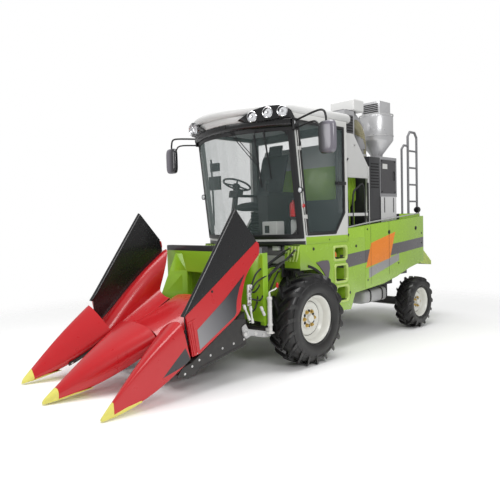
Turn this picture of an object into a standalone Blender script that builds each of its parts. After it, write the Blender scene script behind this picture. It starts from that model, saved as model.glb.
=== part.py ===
"""Compact two-row research combine harvester.

The machine faces -Y, its left side is +X and the ground is z = 0.  Every length
is in metres.  The model is laid out from the front axle: y runs rearwards from
the axle's centre line, and one empty carries the whole machine so that the
row's origin lies under the middle of its overall length.
"""
import math

import bmesh
import bpy
from mathutils import Matrix, Vector

for old in list(bpy.data.objects):
    bpy.data.objects.remove(old, do_unlink=True)

# ---------------------------------------------------------------- driving sizes
GAP = 0.0003                 # air left between two faces that touch
SWING_GAP = 0.006            # air left round a piece that moves

# wheels
TYRE_SIDES = 32              # flats round a tyre and its rim
FRONT_TYRE_RADIUS = 0.522
FRONT_TYRE_WIDTH = 0.335
FRONT_SEAT_RADIUS = 0.254    # where the tyre's bead sits on the rim
FRONT_WHEEL_X = 0.920        # middle of a front tyre
REAR_TYRE_RADIUS = 0.380
REAR_TYRE_WIDTH = 0.264
REAR_SEAT_RADIUS = 0.195
REAR_WHEEL_X = 0.825
WHEELBASE = 2.650
RIM_LIP = 0.020              # height of a rim's lip above the bead seat
RIM_LIP_THICK = 0.012
RIM_WALL = 0.012

# header
HEADER_HALF = 0.885          # outer face of the side shrouds
ROW_X = 0.405                # middle of each row's slot
SLOT_HALF = 0.030
SIDE_TIP_REACH = 2.590       # front axle to the tip of an outer nose
MIDDLE_TIP_REACH = 2.730
NOSE_TIP_Z = 0.030
SIDE_HINGE_Y = -1.790
SIDE_HINGE_Z = 0.678
MIDDLE_HINGE_Y = -1.760
MIDDLE_HINGE_Z = 0.568
SHROUD_THICK = 0.030
FIN_THICK = 0.050
HEADER_BACK_Y = -0.600
HEADER_TOP_Z = 1.370
HEADER_BEAM = 0.060
HOOD_END_LOW_Y = -0.930      # rear end of the side hoods, at the slot
HOOD_END_TOP_Y = -0.648      # and at the ridge
HOOD_END_LOW_Z = 0.750
HOOD_END_TOP_Z = 1.353
HOOD_END_SLOPE = (HOOD_END_TOP_Y - HOOD_END_LOW_Y) / (HOOD_END_TOP_Z - HOOD_END_LOW_Z)
THROAT_HALF = 0.450          # the opening from the header into the feeder house
THROAT_LOW_Z = 0.640
THROAT_TOP_Z = 1.050
MOUTH_DEPTH = 0.220          # open depth of the feeder house behind its front edge

# feeder house and its lift
FEEDER_HALF = 0.500
FEEDER_FRONT_Y = -0.560
FEEDER_REAR_Y = 0.020
LIFT_Y = 0.060
LIFT_Z = 1.020
LIFT_PIN_RADIUS = 0.030
CYLINDER_X = 0.430
CYLINDER_BASE_Y = -0.115
CYLINDER_BASE_Z = 0.400
CYLINDER_EYE_Y = -0.520
CYLINDER_EYE_Z = 0.445
CYLINDER_RADIUS = 0.038
ROD_RADIUS = 0.020

# chassis
RAIL_X = 0.300               # middle of a frame rail
RAIL_WIDTH = 0.080
RAIL_BOTTOM_Z = 0.600
RAIL_TOP_Z = 0.700
FRAME_FRONT_Y = -0.060
FIRST_CROSS_Y = 0.170        # behind the axle's gearbox
FRAME_REAR_Y = WHEELBASE + 0.210
FRAME_BAYS = 5
AXLE_TUBE_RADIUS = 0.075
KINGPIN_X = 0.600

# body
BODY_HALF = 0.840
PANEL_THICK = 0.030
BODY_FRONT_Y = 0.940
BODY_REAR_Y = WHEELBASE + 0.290
BODY_TOP_FRONT_Z = 1.520
BODY_TOP_REAR_Z = 1.660
DOOR_FRONT_Y = 1.345         # front edge of the big side doors
THRESHER_HALF = 0.600
THRESHER_FRONT_Y = 0.150
THRESHER_REAR_Y = BODY_REAR_Y - 0.080
DECK_BOTTOM_Z = 1.400

# cab
CAB_HALF = 0.845
CAB_FRONT_Y = 0.087          # foot of the front pillars
CAB_REAR_Y = 0.950
CAB_FLOOR_Z = 1.360
CAB_SILL_Z = 1.430
CAB_TOP_Z = 2.865
PILLAR_TOP_Y = -0.060
PILLAR_TOP_Z = 2.710
CAB_WALL = 0.050
PILLAR_WIDTH = 0.055
GLASS_THICK = 0.008
GLASS_BULGE = 0.300          # how far the windshield bows forwards
SILL_BULGE = GLASS_BULGE - 0.020
ROOF_OVERHANG = 0.060
ROOF_CROWN_Z = 3.000

CHUTE_REACH = BODY_REAR_Y + 0.620     # front axle to the end of the straw hood
FRONT_AXLE_Y = (MIDDLE_TIP_REACH - CHUTE_REACH) / 2

FRONT_AXLE_Z = FRONT_TYRE_RADIUS * math.cos(math.pi / TYRE_SIDES)
REAR_AXLE_Z = REAR_TYRE_RADIUS * math.cos(math.pi / TYRE_SIDES)

# ---------------------------------------------------------------- materials
COLOURS = {
    "lime_paint": ((0.32, 0.55, 0.03), 0.35, 0.0),
    "red_plastic": ((0.70, 0.02, 0.03), 0.35, 0.0),
    "black_plastic": ((0.02, 0.02, 0.022), 0.45, 0.0),
    "black_steel": ((0.025, 0.025, 0.027), 0.5, 0.4),
    "grey_paint": ((0.55, 0.55, 0.56), 0.45, 0.0),
    "pale_paint": ((0.75, 0.75, 0.74), 0.4, 0.0),
    "white_plastic": ((0.80, 0.80, 0.79), 0.5, 0.0),
    "rubber": ((0.02, 0.02, 0.02), 0.8, 0.0),
    "rim_paint": ((0.75, 0.75, 0.70), 0.4, 0.3),
    "glass": ((0.55, 0.70, 0.66), 0.05, 0.0),
    "zinc": ((0.60, 0.60, 0.60), 0.35, 0.9),
    "chrome": ((0.75, 0.75, 0.76), 0.12, 1.0),
    "cloth": ((0.03, 0.03, 0.035), 0.9, 0.0),
}


def material(name):
    """The named finish as a Principled material, made once."""
    if name in bpy.data.materials:
        return bpy.data.materials[name]
    colour, roughness, metallic = COLOURS[name]
    made = bpy.data.materials.new(name)
    made.use_nodes = True
    made.diffuse_color = (*colour, 1.0)
    shader = made.node_tree.nodes["Principled BSDF"]
    shader.inputs["Base Color"].default_value = (*colour, 1.0)
    shader.inputs["Roughness"].default_value = roughness
    shader.inputs["Metallic"].default_value = metallic
    return made


# ---------------------------------------------------------------- shapes
def loft(rings, closed=False):
    """Skin equal rings of points; the ends are capped unless it closes on itself."""
    bm = bmesh.new()
    rows = [[bm.verts.new(point) for point in ring] for ring in rings]
    count = len(rows[0])
    pairs = list(zip(rows, rows[1:]))
    if closed:
        pairs.append((rows[-1], rows[0]))
    for first, second in pairs:
        for k in range(count):
            following = (k + 1) % count
            bm.faces.new((first[k], first[following], second[following], second[k]))
    if not closed:
        bm.faces.new(rows[0])
        bm.faces.new(rows[-1])
    bmesh.ops.recalc_face_normals(bm, faces=bm.faces)
    return bm


def prism(outline, low, high, axis="x"):
    """Extrude a flat outline; it is (y, z) along x, (x, z) along y, (x, y) along z."""
    def point(a, b, along):
        if axis == "x":
            return (along, a, b)
        if axis == "y":
            return (a, along, b)
        return (a, b, along)
    return loft([[point(a, b, along) for a, b in outline] for along in (low, high)])


def block(x, y, z):
    """A box between two corners, given as three (low, high) pairs."""
    return prism([(y[0], z[0]), (y[1], z[0]), (y[1], z[1]), (y[0], z[1])], x[0], x[1])


def turned(profile, centre, axis="x", sides=24, phase=0.0):
    """Turn a profile of (radius, along) points round an axis through centre.

    The axis is "x", "y", "z" or any direction.  A profile that starts on the
    axis makes a solid; any other makes a ring.
    """
    frames = {
        "x": (Vector((0, 1, 0)), Vector((0, 0, 1)), Vector((1, 0, 0))),
        "y": (Vector((1, 0, 0)), Vector((0, 0, 1)), Vector((0, 1, 0))),
        "z": (Vector((1, 0, 0)), Vector((0, 1, 0)), Vector((0, 0, 1))),
    }
    if isinstance(axis, str):
        across, up, forward = frames[axis]
    else:
        forward = Vector(axis).normalized()
        across = forward.orthogonal().normalized()
        up = forward.cross(across)
    bm = bmesh.new()
    rings = []
    for radius, along in profile:
        ring = []
        for k in range(sides if radius > 0 else 1):
            angle = phase + 2 * math.pi * k / sides
            offset = across * math.cos(angle) + up * math.sin(angle)
            ring.append(bm.verts.new(Vector(centre) + offset * radius + forward * along))
        rings.append(ring)
    pairs = list(zip(rings, rings[1:]))
    if profile[0][0] > 0:
        pairs.append((rings[-1], rings[0]))
    for first, second in pairs:
        for k in range(sides):
            following = (k + 1) % sides
            if len(first) == 1:
                bm.faces.new((first[0], second[following], second[k]))
            elif len(second) == 1:
                bm.faces.new((first[k], first[following], second[0]))
            else:
                bm.faces.new((first[k], first[following], second[following], second[k]))
    bmesh.ops.recalc_face_normals(bm, faces=bm.faces)
    return bm


def disc(centre, radius, low, high, axis="x", sides=16):
    """A plain round slug between two places along its axis."""
    return turned([(0, low), (radius, low), (radius, high), (0, high)], centre, axis, sides)


def rod(start, end, radius, sides=12):
    """A straight round bar between two points."""
    return pipe([start, end], radius, sides)


def pipe(points, radius, sides=10):
    """A round bar along a line of points, mitred where it bends."""
    points = [Vector(p) for p in points]
    steps = [(b - a).normalized() for a, b in zip(points, points[1:])]
    side = steps[0].orthogonal().normalized()
    rings = []
    for k, here in enumerate(points):
        before = steps[max(k - 1, 0)]
        after = steps[min(k, len(steps) - 1)]
        middle = (before + after).normalized()
        side = (side - middle * side.dot(middle)).normalized()
        other = middle.cross(side)
        bend = before.cross(after)
        stretch = 1.0 / max(before.dot(middle), 0.5)
        ring = []
        for n in range(sides):
            angle = 2 * math.pi * (n + 0.5) / sides
            offset = (side * math.cos(angle) + other * math.sin(angle)) * radius
            if bend.length > 1e-6:
                inward = bend.cross(middle).normalized()
                offset += inward * offset.dot(inward) * (stretch - 1)
            ring.append(here + offset)
        rings.append(ring)
    return loft(rings)


def piece(name, shape, finish, parent, pivot=(0, 0, 0)):
    """Make one named object, its origin on pivot (laid out from the front axle)."""
    mesh = bpy.data.meshes.new(name)
    bmesh.ops.translate(shape, vec=-Vector(pivot), verts=shape.verts)
    shape.to_mesh(mesh)
    shape.free()
    mesh.materials.append(material(finish))
    made = bpy.data.objects.new(name, mesh)
    bpy.context.scene.collection.objects.link(made)
    made.parent = parent
    made.location = Vector(pivot)
    return made


def shape_tool(target, shape, operation):
    """Join a shape to an object, or cut it away, with an exact Boolean."""
    number = len(target.modifiers)
    tool = piece(f"{target.name}_tool_{number}", shape, "zinc", target.parent)
    tool.hide_render = True
    tool.display_type = "WIRE"
    step = target.modifiers.new(f"{operation.lower()}_{number}", "BOOLEAN")
    step.operation = operation
    step.solver = "EXACT"
    step.object = tool


def join(target, *shapes):
    for shape in shapes:
        shape_tool(target, shape, "UNION")


def cut(target, *shapes):
    for shape in shapes:
        shape_tool(target, shape, "DIFFERENCE")


def round_off(target, angle=35):
    """Shade a round piece smooth, with its real edges kept sharp."""
    target.data.shade_smooth()
    target.data.set_sharp_from_angle(angle=math.radians(angle))


machine = bpy.data.objects.new("machine", None)
machine.location = (0, FRONT_AXLE_Y, 0)
bpy.context.scene.collection.objects.link(machine)
SIDES = (("left", 1), ("right", -1))


def span(sign, inner, outer):
    """A (low, high) pair across x for the left (+1) or right (-1) side."""
    return (inner, outer) if sign > 0 else (-outer, -inner)


# ---------------------------------------------------------------- wheels
def tyre(name, centre, radius, width, seat):
    bead = 0.36 * width
    middle = (radius + seat) / 2
    profile = [
        (seat + GAP, -bead),
        (seat + RIM_LIP + 0.004, -bead - 0.004),
        (middle, -width / 2),
        (radius - 0.035, -0.46 * width),
        (radius, -0.38 * width),
        (radius, 0.38 * width),
        (radius - 0.035, 0.46 * width),
        (middle, width / 2),
        (seat + RIM_LIP + 0.004, bead + 0.004),
        (seat + GAP, bead),
    ]
    shape = turned(profile, centre, sides=TYRE_SIDES, phase=math.pi / TYRE_SIDES + math.pi / 2)
    round_off(piece(name, shape, "rubber", machine, centre))


def rim(name, centre, sign, width, seat, plate, hub_radius, hub_out):
    """A dished rim: plate is how far its disc lies outboard of the tyre's middle."""
    bead = 0.36 * width + GAP
    bore = seat - RIM_WALL
    lip = seat + RIM_LIP
    edge = bead + 0.004 + RIM_LIP_THICK
    profile = [
        (0.0, plate),
        (bore * 0.62, plate),
        (bore * 0.80, plate - 0.030),
        (bore, plate - 0.030),
        (bore, -edge),
        (lip, -edge),
        (lip, -edge + RIM_LIP_THICK),
        (seat, -bead),
        (seat, bead),
        (lip, edge - RIM_LIP_THICK),
        (lip, edge),
        (bore, edge),
        (bore * 0.98, plate - 0.010),
        (bore * 0.82, plate - 0.008),
        (bore * 0.66, plate + 0.014),
        (hub_radius, plate + 0.014),
        (hub_radius * 0.92, hub_out),
        (0.0, hub_out),
    ]
    profile = [(radius, sign * along) for radius, along in profile]
    shape = turned(profile, centre, sides=TYRE_SIDES, phase=math.pi / TYRE_SIDES + math.pi / 2)
    round_off(piece(name, shape, "rim_paint", machine, centre))


FRONT_DISC = 0.020
REAR_DISC = 0.010
for side, sign in SIDES:
    front = (sign * FRONT_WHEEL_X, 0, FRONT_AXLE_Z)
    rear = (sign * REAR_WHEEL_X, WHEELBASE, REAR_AXLE_Z)
    tyre(f"front_{side}_tyre", front, FRONT_TYRE_RADIUS, FRONT_TYRE_WIDTH, FRONT_SEAT_RADIUS)
    rim(f"front_{side}_rim", front, sign, FRONT_TYRE_WIDTH, FRONT_SEAT_RADIUS,
        FRONT_DISC, 0.075, FRONT_DISC + 0.050)
    tyre(f"rear_{side}_tyre", rear, REAR_TYRE_RADIUS, REAR_TYRE_WIDTH, REAR_SEAT_RADIUS)
    rim(f"rear_{side}_rim", rear, sign, REAR_TYRE_WIDTH, REAR_SEAT_RADIUS,
        REAR_DISC, 0.055, REAR_DISC + 0.045)

# ---------------------------------------------------------------- axles
EAR_THICK = 0.012
EYE_HALF = 0.022             # half the width of a lift cylinder's eye
EYE_RADIUS = 0.030
axle_end = FRONT_WHEEL_X + FRONT_DISC - GAP
half_axle = [
    (0.150, 0.000),
    (0.150, 0.140),
    (AXLE_TUBE_RADIUS, 0.210),
    (AXLE_TUBE_RADIUS, 0.560),
    (0.140, 0.590),
    (0.140, 0.700),
    (0.100, 0.720),
    (0.100, axle_end),
    (0.000, axle_end),
]
axle_profile = [(r, -x) for r, x in reversed(half_axle)] + half_axle[1:]
front_axle = piece("front_axle", turned(axle_profile, (0, 0, FRONT_AXLE_Z), sides=20),
                   "black_steel", machine)
for side, sign in SIDES:
    for ear in (-1, 1):
        inner = CYLINDER_X + ear * (EYE_HALF + 0.0005 + EAR_THICK / 2) - EAR_THICK / 2
        join(front_axle, prism(
            [(0.030, FRONT_AXLE_Z - 0.060), (-0.020, FRONT_AXLE_Z + 0.020),
             (CYLINDER_BASE_Y - 0.022, CYLINDER_BASE_Z + 0.020),
             (CYLINDER_BASE_Y - 0.022, CYLINDER_BASE_Z - 0.020),
             (CYLINDER_BASE_Y + 0.020, CYLINDER_BASE_Z - 0.030)],
            *span(sign, inner, inner + EAR_THICK)))

BEAM_HALF_Y = 0.050
BEAM_BOTTOM_Z = REAR_AXLE_Z - 0.070
BEAM_TOP_Z = REAR_AXLE_Z + 0.050
BOSS_RADIUS = 0.060
rear_axle = piece(
    "rear_axle_beam",
    block((-KINGPIN_X, KINGPIN_X), (WHEELBASE - BEAM_HALF_Y, WHEELBASE + BEAM_HALF_Y),
          (BEAM_BOTTOM_Z + 0.010, BEAM_TOP_Z - 0.010)),
    "black_steel", machine)
for side, sign in SIDES:
    join(rear_axle, disc((sign * KINGPIN_X, WHEELBASE, 0), BOSS_RADIUS,
                         BEAM_BOTTOM_Z, BEAM_TOP_Z, "z"))
join(rear_axle, block((-RAIL_X - RAIL_WIDTH / 2, RAIL_X + RAIL_WIDTH / 2),
                      (WHEELBASE - BEAM_HALF_Y - 0.010, WHEELBASE + BEAM_HALF_Y + 0.010),
                      (BEAM_TOP_Z - 0.020, RAIL_BOTTOM_Z - GAP)))

# A knuckle is a yoke over the beam's boss, a web, a stub for the wheel and an arm.
YOKE_THICK = 0.022
YOKE_GAP = 0.0008
YOKE_HALF_Y = 0.045
WEB_THICK = 0.020
STEER_ARM_LENGTH = 0.170
STEER_ARM_X = KINGPIN_X - 0.040
web_inner = KINGPIN_X + BOSS_RADIUS + SWING_GAP
web_outer = web_inner + WEB_THICK
yoke_top = BEAM_TOP_Z + YOKE_GAP
yoke_foot = BEAM_BOTTOM_Z - YOKE_GAP
arm_y = WHEELBASE + STEER_ARM_LENGTH
stub_end = REAR_WHEEL_X + REAR_DISC - GAP
for side, sign in SIDES:
    knuckle = piece(
        f"{side}_knuckle",
        block(span(sign, web_inner, web_outer),
              (WHEELBASE - YOKE_HALF_Y, WHEELBASE + YOKE_HALF_Y),
              (yoke_foot - YOKE_THICK, yoke_top + YOKE_THICK)),
        "black_steel", machine, (sign * KINGPIN_X, WHEELBASE, REAR_AXLE_Z))
    yoke = (WHEELBASE - YOKE_HALF_Y + 0.004, WHEELBASE + YOKE_HALF_Y - 0.004)
    join(knuckle,
         block(span(sign, KINGPIN_X - 0.045, web_outer - 0.004), yoke,
               (yoke_top, yoke_top + YOKE_THICK - 0.004)),
         block(span(sign, KINGPIN_X - 0.045, web_outer - 0.004), yoke,
               (yoke_foot - YOKE_THICK + 0.004, yoke_foot)),
         block(span(sign, STEER_ARM_X - 0.025, STEER_ARM_X + 0.030),
               (WHEELBASE + 0.020, arm_y + 0.025),
               (yoke_foot - YOKE_THICK + 0.006, yoke_foot - 0.003)),
         turned([(0, web_outer - 0.010), (0.058, web_outer - 0.010), (0.045, web_outer + 0.030),
                 (0.045, stub_end), (0, stub_end)],
                (0, WHEELBASE, REAR_AXLE_Z), (sign, 0, 0), sides=16))

TIE_EYE_HALF = 0.012
tie_z = yoke_foot - YOKE_THICK + 0.006 - YOKE_GAP - TIE_EYE_HALF
tie_rod = piece("tie_rod", rod((-STEER_ARM_X, arm_y, tie_z), (STEER_ARM_X, arm_y, tie_z), 0.010),
                "zinc", machine, (STEER_ARM_X, arm_y, tie_z))
for side, sign in SIDES:
    join(tie_rod, disc((sign * STEER_ARM_X, arm_y, tie_z), 0.022, -TIE_EYE_HALF, TIE_EYE_HALF, "z", 12))

# ---------------------------------------------------------------- chassis frame
frame = piece("chassis_frame",
              block((RAIL_X - RAIL_WIDTH / 2, RAIL_X + RAIL_WIDTH / 2), (FRAME_FRONT_Y, FRAME_REAR_Y),
                    (RAIL_BOTTOM_Z, RAIL_TOP_Z)),
              "black_steel", machine)
join(frame, block((-RAIL_X - RAIL_WIDTH / 2, -RAIL_X + RAIL_WIDTH / 2), (FRAME_FRONT_Y, FRAME_REAR_Y),
                  (RAIL_BOTTOM_Z, RAIL_TOP_Z)))
CROSS_WIDTH = 0.060
bay = (FRAME_REAR_Y - FIRST_CROSS_Y - CROSS_WIDTH - 0.010) / FRAME_BAYS
for k in range(FRAME_BAYS + 1):
    start = FIRST_CROSS_Y + k * bay
    join(frame, block((-RAIL_X, RAIL_X), (start, start + CROSS_WIDTH),
                      (RAIL_BOTTOM_Z + 0.010, RAIL_TOP_Z - 0.010)))
HITCH_HALF = 0.090
HITCH_REAR_Y = FRAME_REAR_Y + 0.140
HITCH_PLATE = 0.020
join(frame,
     block((-0.050, 0.050), (FRAME_REAR_Y - 0.050, HITCH_REAR_Y - 0.010),
           (RAIL_BOTTOM_Z + 0.015, RAIL_TOP_Z - 0.015)),
     block((-HITCH_HALF, HITCH_HALF), (HITCH_REAR_Y - HITCH_PLATE, HITCH_REAR_Y),
           (RAIL_BOTTOM_Z - 0.040, RAIL_TOP_Z)))
for side, sign in SIDES:
    join(frame, block(span(sign, RAIL_X - 0.035, RAIL_X + 0.035), (-0.050, 0.050),
                      (FRONT_AXLE_Z + AXLE_TUBE_RADIUS + GAP, RAIL_BOTTOM_Z + 0.010)))

# The cross beam under the cab carries the feeder house on two ears.
BEAM_FRONT_Y = 0.020
BEAM_REAR_Y = 0.140
BEAM_LOW_Z = 1.130
EAR_X = FEEDER_HALF + 0.030
crossbeam = piece("front_crossbeam",
                  block((-THRESHER_HALF, THRESHER_HALF), (BEAM_FRONT_Y, BEAM_REAR_Y),
                        (BEAM_LOW_Z, CAB_FLOOR_Z - GAP)),
                  "grey_paint", machine)
for side, sign in SIDES:
    join(crossbeam, block(span(sign, EAR_X, EAR_X + 0.020), (LIFT_Y - 0.045, BEAM_REAR_Y - 0.005),
                          (LIFT_Z - 0.050, BEAM_LOW_Z + 0.020)))

# ---------------------------------------------------------------- body
STEER_ROOM_Y = WHEELBASE - 1.45 * REAR_TYRE_RADIUS
STEER_ROOM_Z = 2 * REAR_AXLE_Z + 0.020      # clears the tyres as they steer
thresher = piece("thresher_housing",
                 prism([(THRESHER_FRONT_Y, RAIL_TOP_Z + GAP), (STEER_ROOM_Y - 0.060, RAIL_TOP_Z + GAP),
                        (STEER_ROOM_Y, STEER_ROOM_Z), (THRESHER_REAR_Y, STEER_ROOM_Z),
                        (THRESHER_REAR_Y, DECK_BOTTOM_Z - GAP), (BODY_FRONT_Y + 0.020, DECK_BOTTOM_Z - GAP),
                        (BODY_FRONT_Y + 0.020, CAB_FLOOR_Z - 0.002), (THRESHER_FRONT_Y, CAB_FLOOR_Z - 0.002)],
                       -THRESHER_HALF, THRESHER_HALF),
                 "grey_paint", machine)
OUTLET_DEPTH = 0.350
OUTLET_HALF = 0.540
OUTLET_LOW_Z = STEER_ROOM_Z + 0.030
OUTLET_TOP_Z = 1.320
cut(thresher, block((-OUTLET_HALF, OUTLET_HALF), (THRESHER_REAR_Y - OUTLET_DEPTH, THRESHER_REAR_Y + 0.100),
                    (OUTLET_LOW_Z, OUTLET_TOP_Z)))


def body_top_z(y):
    """Height of the body's top edge, which climbs to the rear."""
    share = (y - BODY_FRONT_Y) / (BODY_REAR_Y - BODY_FRONT_Y)
    return BODY_TOP_FRONT_Z + share * (BODY_TOP_REAR_Z - BODY_TOP_FRONT_Z)


DECK_HALF = BODY_HALF - PANEL_THICK - SWING_GAP
DECK_PLATE = 0.040
deck_front = CAB_REAR_Y + 0.012
DECK_REAR_Z = BODY_TOP_REAR_Z + DECK_PLATE
DECK_STEP_Y = BODY_REAR_Y - 0.640


def deck_z(y):
    """Height of the sloping deck between the cab and the rear platform."""
    return body_top_z(y) + 0.004


def on_deck(front_y, rear_y, top_z):
    """Side outline of a box that stands on the sloping deck."""
    return [(front_y, deck_z(front_y) + GAP), (rear_y, deck_z(rear_y) + GAP),
            (rear_y, top_z), (front_y, top_z)]


body_top = piece("body_top",
                 prism([(deck_front, DECK_BOTTOM_Z), (BODY_REAR_Y - 0.040, DECK_BOTTOM_Z),
                        (BODY_REAR_Y - 0.040, DECK_REAR_Z), (DECK_STEP_Y, DECK_REAR_Z),
                        (DECK_STEP_Y, deck_z(DECK_STEP_Y)), (deck_front, deck_z(deck_front))],
                       -DECK_HALF, DECK_HALF),
                 "black_plastic", machine)

# A side door hangs from the deck's edge and lifts outwards.
SKIRT_Z = 0.700              # lower edge of the body ahead of the rear wheel
ARCH_Z = 0.960               # top of the arch over the rear wheel
door_outline = [
    (DOOR_FRONT_Y, SKIRT_Z), (WHEELBASE - 0.850, 0.735), (WHEELBASE - 0.500, 0.800),
    (WHEELBASE - 0.150, 0.895), (BODY_REAR_Y - 0.080, ARCH_Z), (BODY_REAR_Y, ARCH_Z),
    (BODY_REAR_Y, body_top_z(BODY_REAR_Y)), (DOOR_FRONT_Y, body_top_z(DOOR_FRONT_Y)),
]
for side, sign in SIDES:
    piece(f"{side}_side_door", prism(door_outline, *span(sign, BODY_HALF - PANEL_THICK, BODY_HALF)),
          "lime_paint", machine, (sign * BODY_HALF, DOOR_FRONT_Y, body_top_z(DOOR_FRONT_Y)))

HINGE_TAB = 0.060
for side, sign in SIDES:
    for y in (DOOR_FRONT_Y + 0.150, (DOOR_FRONT_Y + BODY_REAR_Y) / 2, BODY_REAR_Y - 0.300):
        low = body_top_z(y) - 0.050
        join(body_top, block(span(sign, DECK_HALF - 0.010, BODY_HALF - PANEL_THICK - 0.0005),
                             (y, y + HINGE_TAB), (low, low + 0.030)))

# The moulded front body: a fender over the front wheel, a skirt and step pockets.
FENDER_INNER = THRESHER_HALF + 0.0003
FENDER_LOW_Z = 2 * FRONT_AXLE_Z + 0.025
STEP_FRONT_Y = 0.600
front_outline = [
    (0.000, FENDER_LOW_Z), (0.300, FENDER_LOW_Z - 0.010), (0.460, 0.880), (STEP_FRONT_Y, 0.780),
    (0.640, 0.500), (1.000, 0.480), (1.100, 0.680), (DOOR_FRONT_Y - SWING_GAP, SKIRT_Z),
    (DOOR_FRONT_Y - SWING_GAP, DECK_BOTTOM_Z - 0.001), (deck_front, DECK_BOTTOM_Z - 0.001),
    (deck_front, CAB_FLOOR_Z - GAP), (0.000, CAB_FLOOR_Z - GAP),
]
STEP_DEPTH = 0.180
STEP_POCKETS = ((0.660, 0.900, 1.150, 1.290), (0.680, 0.910, 0.870, 1.060), (0.700, 0.930, 0.620, 0.790))
for side, sign in SIDES:
    body = piece(f"{side}_front_body", prism(front_outline, *span(sign, FENDER_INNER, BODY_HALF)),
                 "lime_paint", machine)
    if side == "left":
        for front_y, rear_y, low_z, high_z in STEP_POCKETS:
            cut(body, block(span(sign, BODY_HALF - STEP_DEPTH, BODY_HALF + 0.050), (front_y, rear_y),
                            (low_z, high_z)))

# The strip beside the deck, ahead of the side door.
strip_rear = DOOR_FRONT_Y - SWING_GAP - 0.001
for side, sign in SIDES:
    join(bpy.data.objects[f"{side}_front_body"],
         prism([(deck_front + 0.001, DECK_BOTTOM_Z - 0.050), (strip_rear, DECK_BOTTOM_Z - 0.050),
                (strip_rear, body_top_z(DOOR_FRONT_Y)), (deck_front + 0.001, body_top_z(deck_front))],
               *span(sign, BODY_HALF - PANEL_THICK, BODY_HALF - 0.001)))

STRAW_HALF = 0.650
HOOD_THICK = 0.020
HOOD_ROOT_Z = 1.380
HOOD_END_Z = 0.920
HOOD_CHEEK_Z = 1.060         # lower edge of its cheeks where they meet the body
hood_y = BODY_REAR_Y + GAP
straw_hood = piece("straw_hood",
                   prism([(hood_y, HOOD_ROOT_Z), (CHUTE_REACH, HOOD_END_Z), (CHUTE_REACH, HOOD_END_Z - 0.060),
                          (hood_y + 0.310, HOOD_END_Z - 0.020), (hood_y, HOOD_CHEEK_Z)],
                         -STRAW_HALF, STRAW_HALF),
                   "lime_paint", machine)
cut(straw_hood, prism([(hood_y - 0.050, HOOD_ROOT_Z + 0.011), (CHUTE_REACH - 0.020, HOOD_END_Z - 0.030),
                       (CHUTE_REACH - 0.020, HOOD_END_Z - 0.300), (hood_y - 0.050, 0.700)],
                      -STRAW_HALF + HOOD_THICK, STRAW_HALF - HOOD_THICK))
join(straw_hood,
     block((-DECK_HALF, DECK_HALF), (BODY_REAR_Y - 0.0397, BODY_REAR_Y + 0.002),
           (HOOD_ROOT_Z - 0.010, BODY_TOP_REAR_Z)))

tank_inner = RAIL_X + RAIL_WIDTH / 2 + GAP
fuel_tank = piece("fuel_tank",
                  prism([(tank_inner, 0.610), (tank_inner + 0.020, 0.520), (tank_inner + 0.080, 0.460),
                         (0.680, 0.460), (0.740, 0.520), (0.740, 0.640), (0.700, 0.670), (tank_inner, 0.670)],
                        1.480, 2.060, "y"),
                  "grey_paint", machine)

# ---------------------------------------------------------------- cab
ARC_STEPS = 10


def bow(half, edge_y, bulge):
    """Points of a front edge that bows forwards, from the left side to the right."""
    points = []
    for k in range(ARC_STEPS + 1):
        x = half * (1 - 2 * k / ARC_STEPS)
        points.append((x, edge_y - bulge * (1 - (x / half) ** 2)))
    return points


def pillar_y(z):
    """Front face of a front pillar: it leans forwards as it rises."""
    share = (z - CAB_SILL_Z) / (PILLAR_TOP_Z - CAB_SILL_Z)
    return CAB_FRONT_Y + share * (PILLAR_TOP_Y - CAB_FRONT_Y)


def bowed_slab(half, edge_y, bulge, rear_y, z):
    """A level ring of points: a bowed front edge and a straight rear edge."""
    return [(x, y, z) for x, y in bow(half, edge_y, bulge)] + [(-half, rear_y, z), (half, rear_y, z)]


cab = piece("cab_frame",
            loft([bowed_slab(CAB_HALF, CAB_FRONT_Y, SILL_BULGE, CAB_REAR_Y, CAB_FLOOR_Z),
                  bowed_slab(CAB_HALF, CAB_FRONT_Y, SILL_BULGE, CAB_REAR_Y, CAB_SILL_Z)]),
            "pale_paint", machine)
WALL_LOW_Z = CAB_SILL_Z - 0.010
side_outline = [(pillar_y(WALL_LOW_Z), WALL_LOW_Z), (CAB_REAR_Y - 0.001, WALL_LOW_Z),
                (CAB_REAR_Y - 0.001, CAB_TOP_Z), (pillar_y(CAB_TOP_Z), CAB_TOP_Z)]
DOOR_LOW_Z = CAB_SILL_Z + 0.030
DOOR_TOP_Z = CAB_TOP_Z - 0.070
DOOR_REAR_Y = CAB_REAR_Y - 0.045
DOOR_CORNER = 0.200          # size of the chamfer at the door's lower rear corner


def door_opening(inset):
    """Outline of the side window or door, inset from its opening all round."""
    low, top, rear = DOOR_LOW_Z + inset, DOOR_TOP_Z - inset, DOOR_REAR_Y - inset
    front_low = pillar_y(low) + PILLAR_WIDTH + inset
    front_top = pillar_y(top) + PILLAR_WIDTH + inset
    slope = DOOR_CORNER - inset * 0.6
    return [(front_low, low), (rear - slope, low), (rear, low + slope * 1.3), (rear, top), (front_top, top)]


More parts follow.
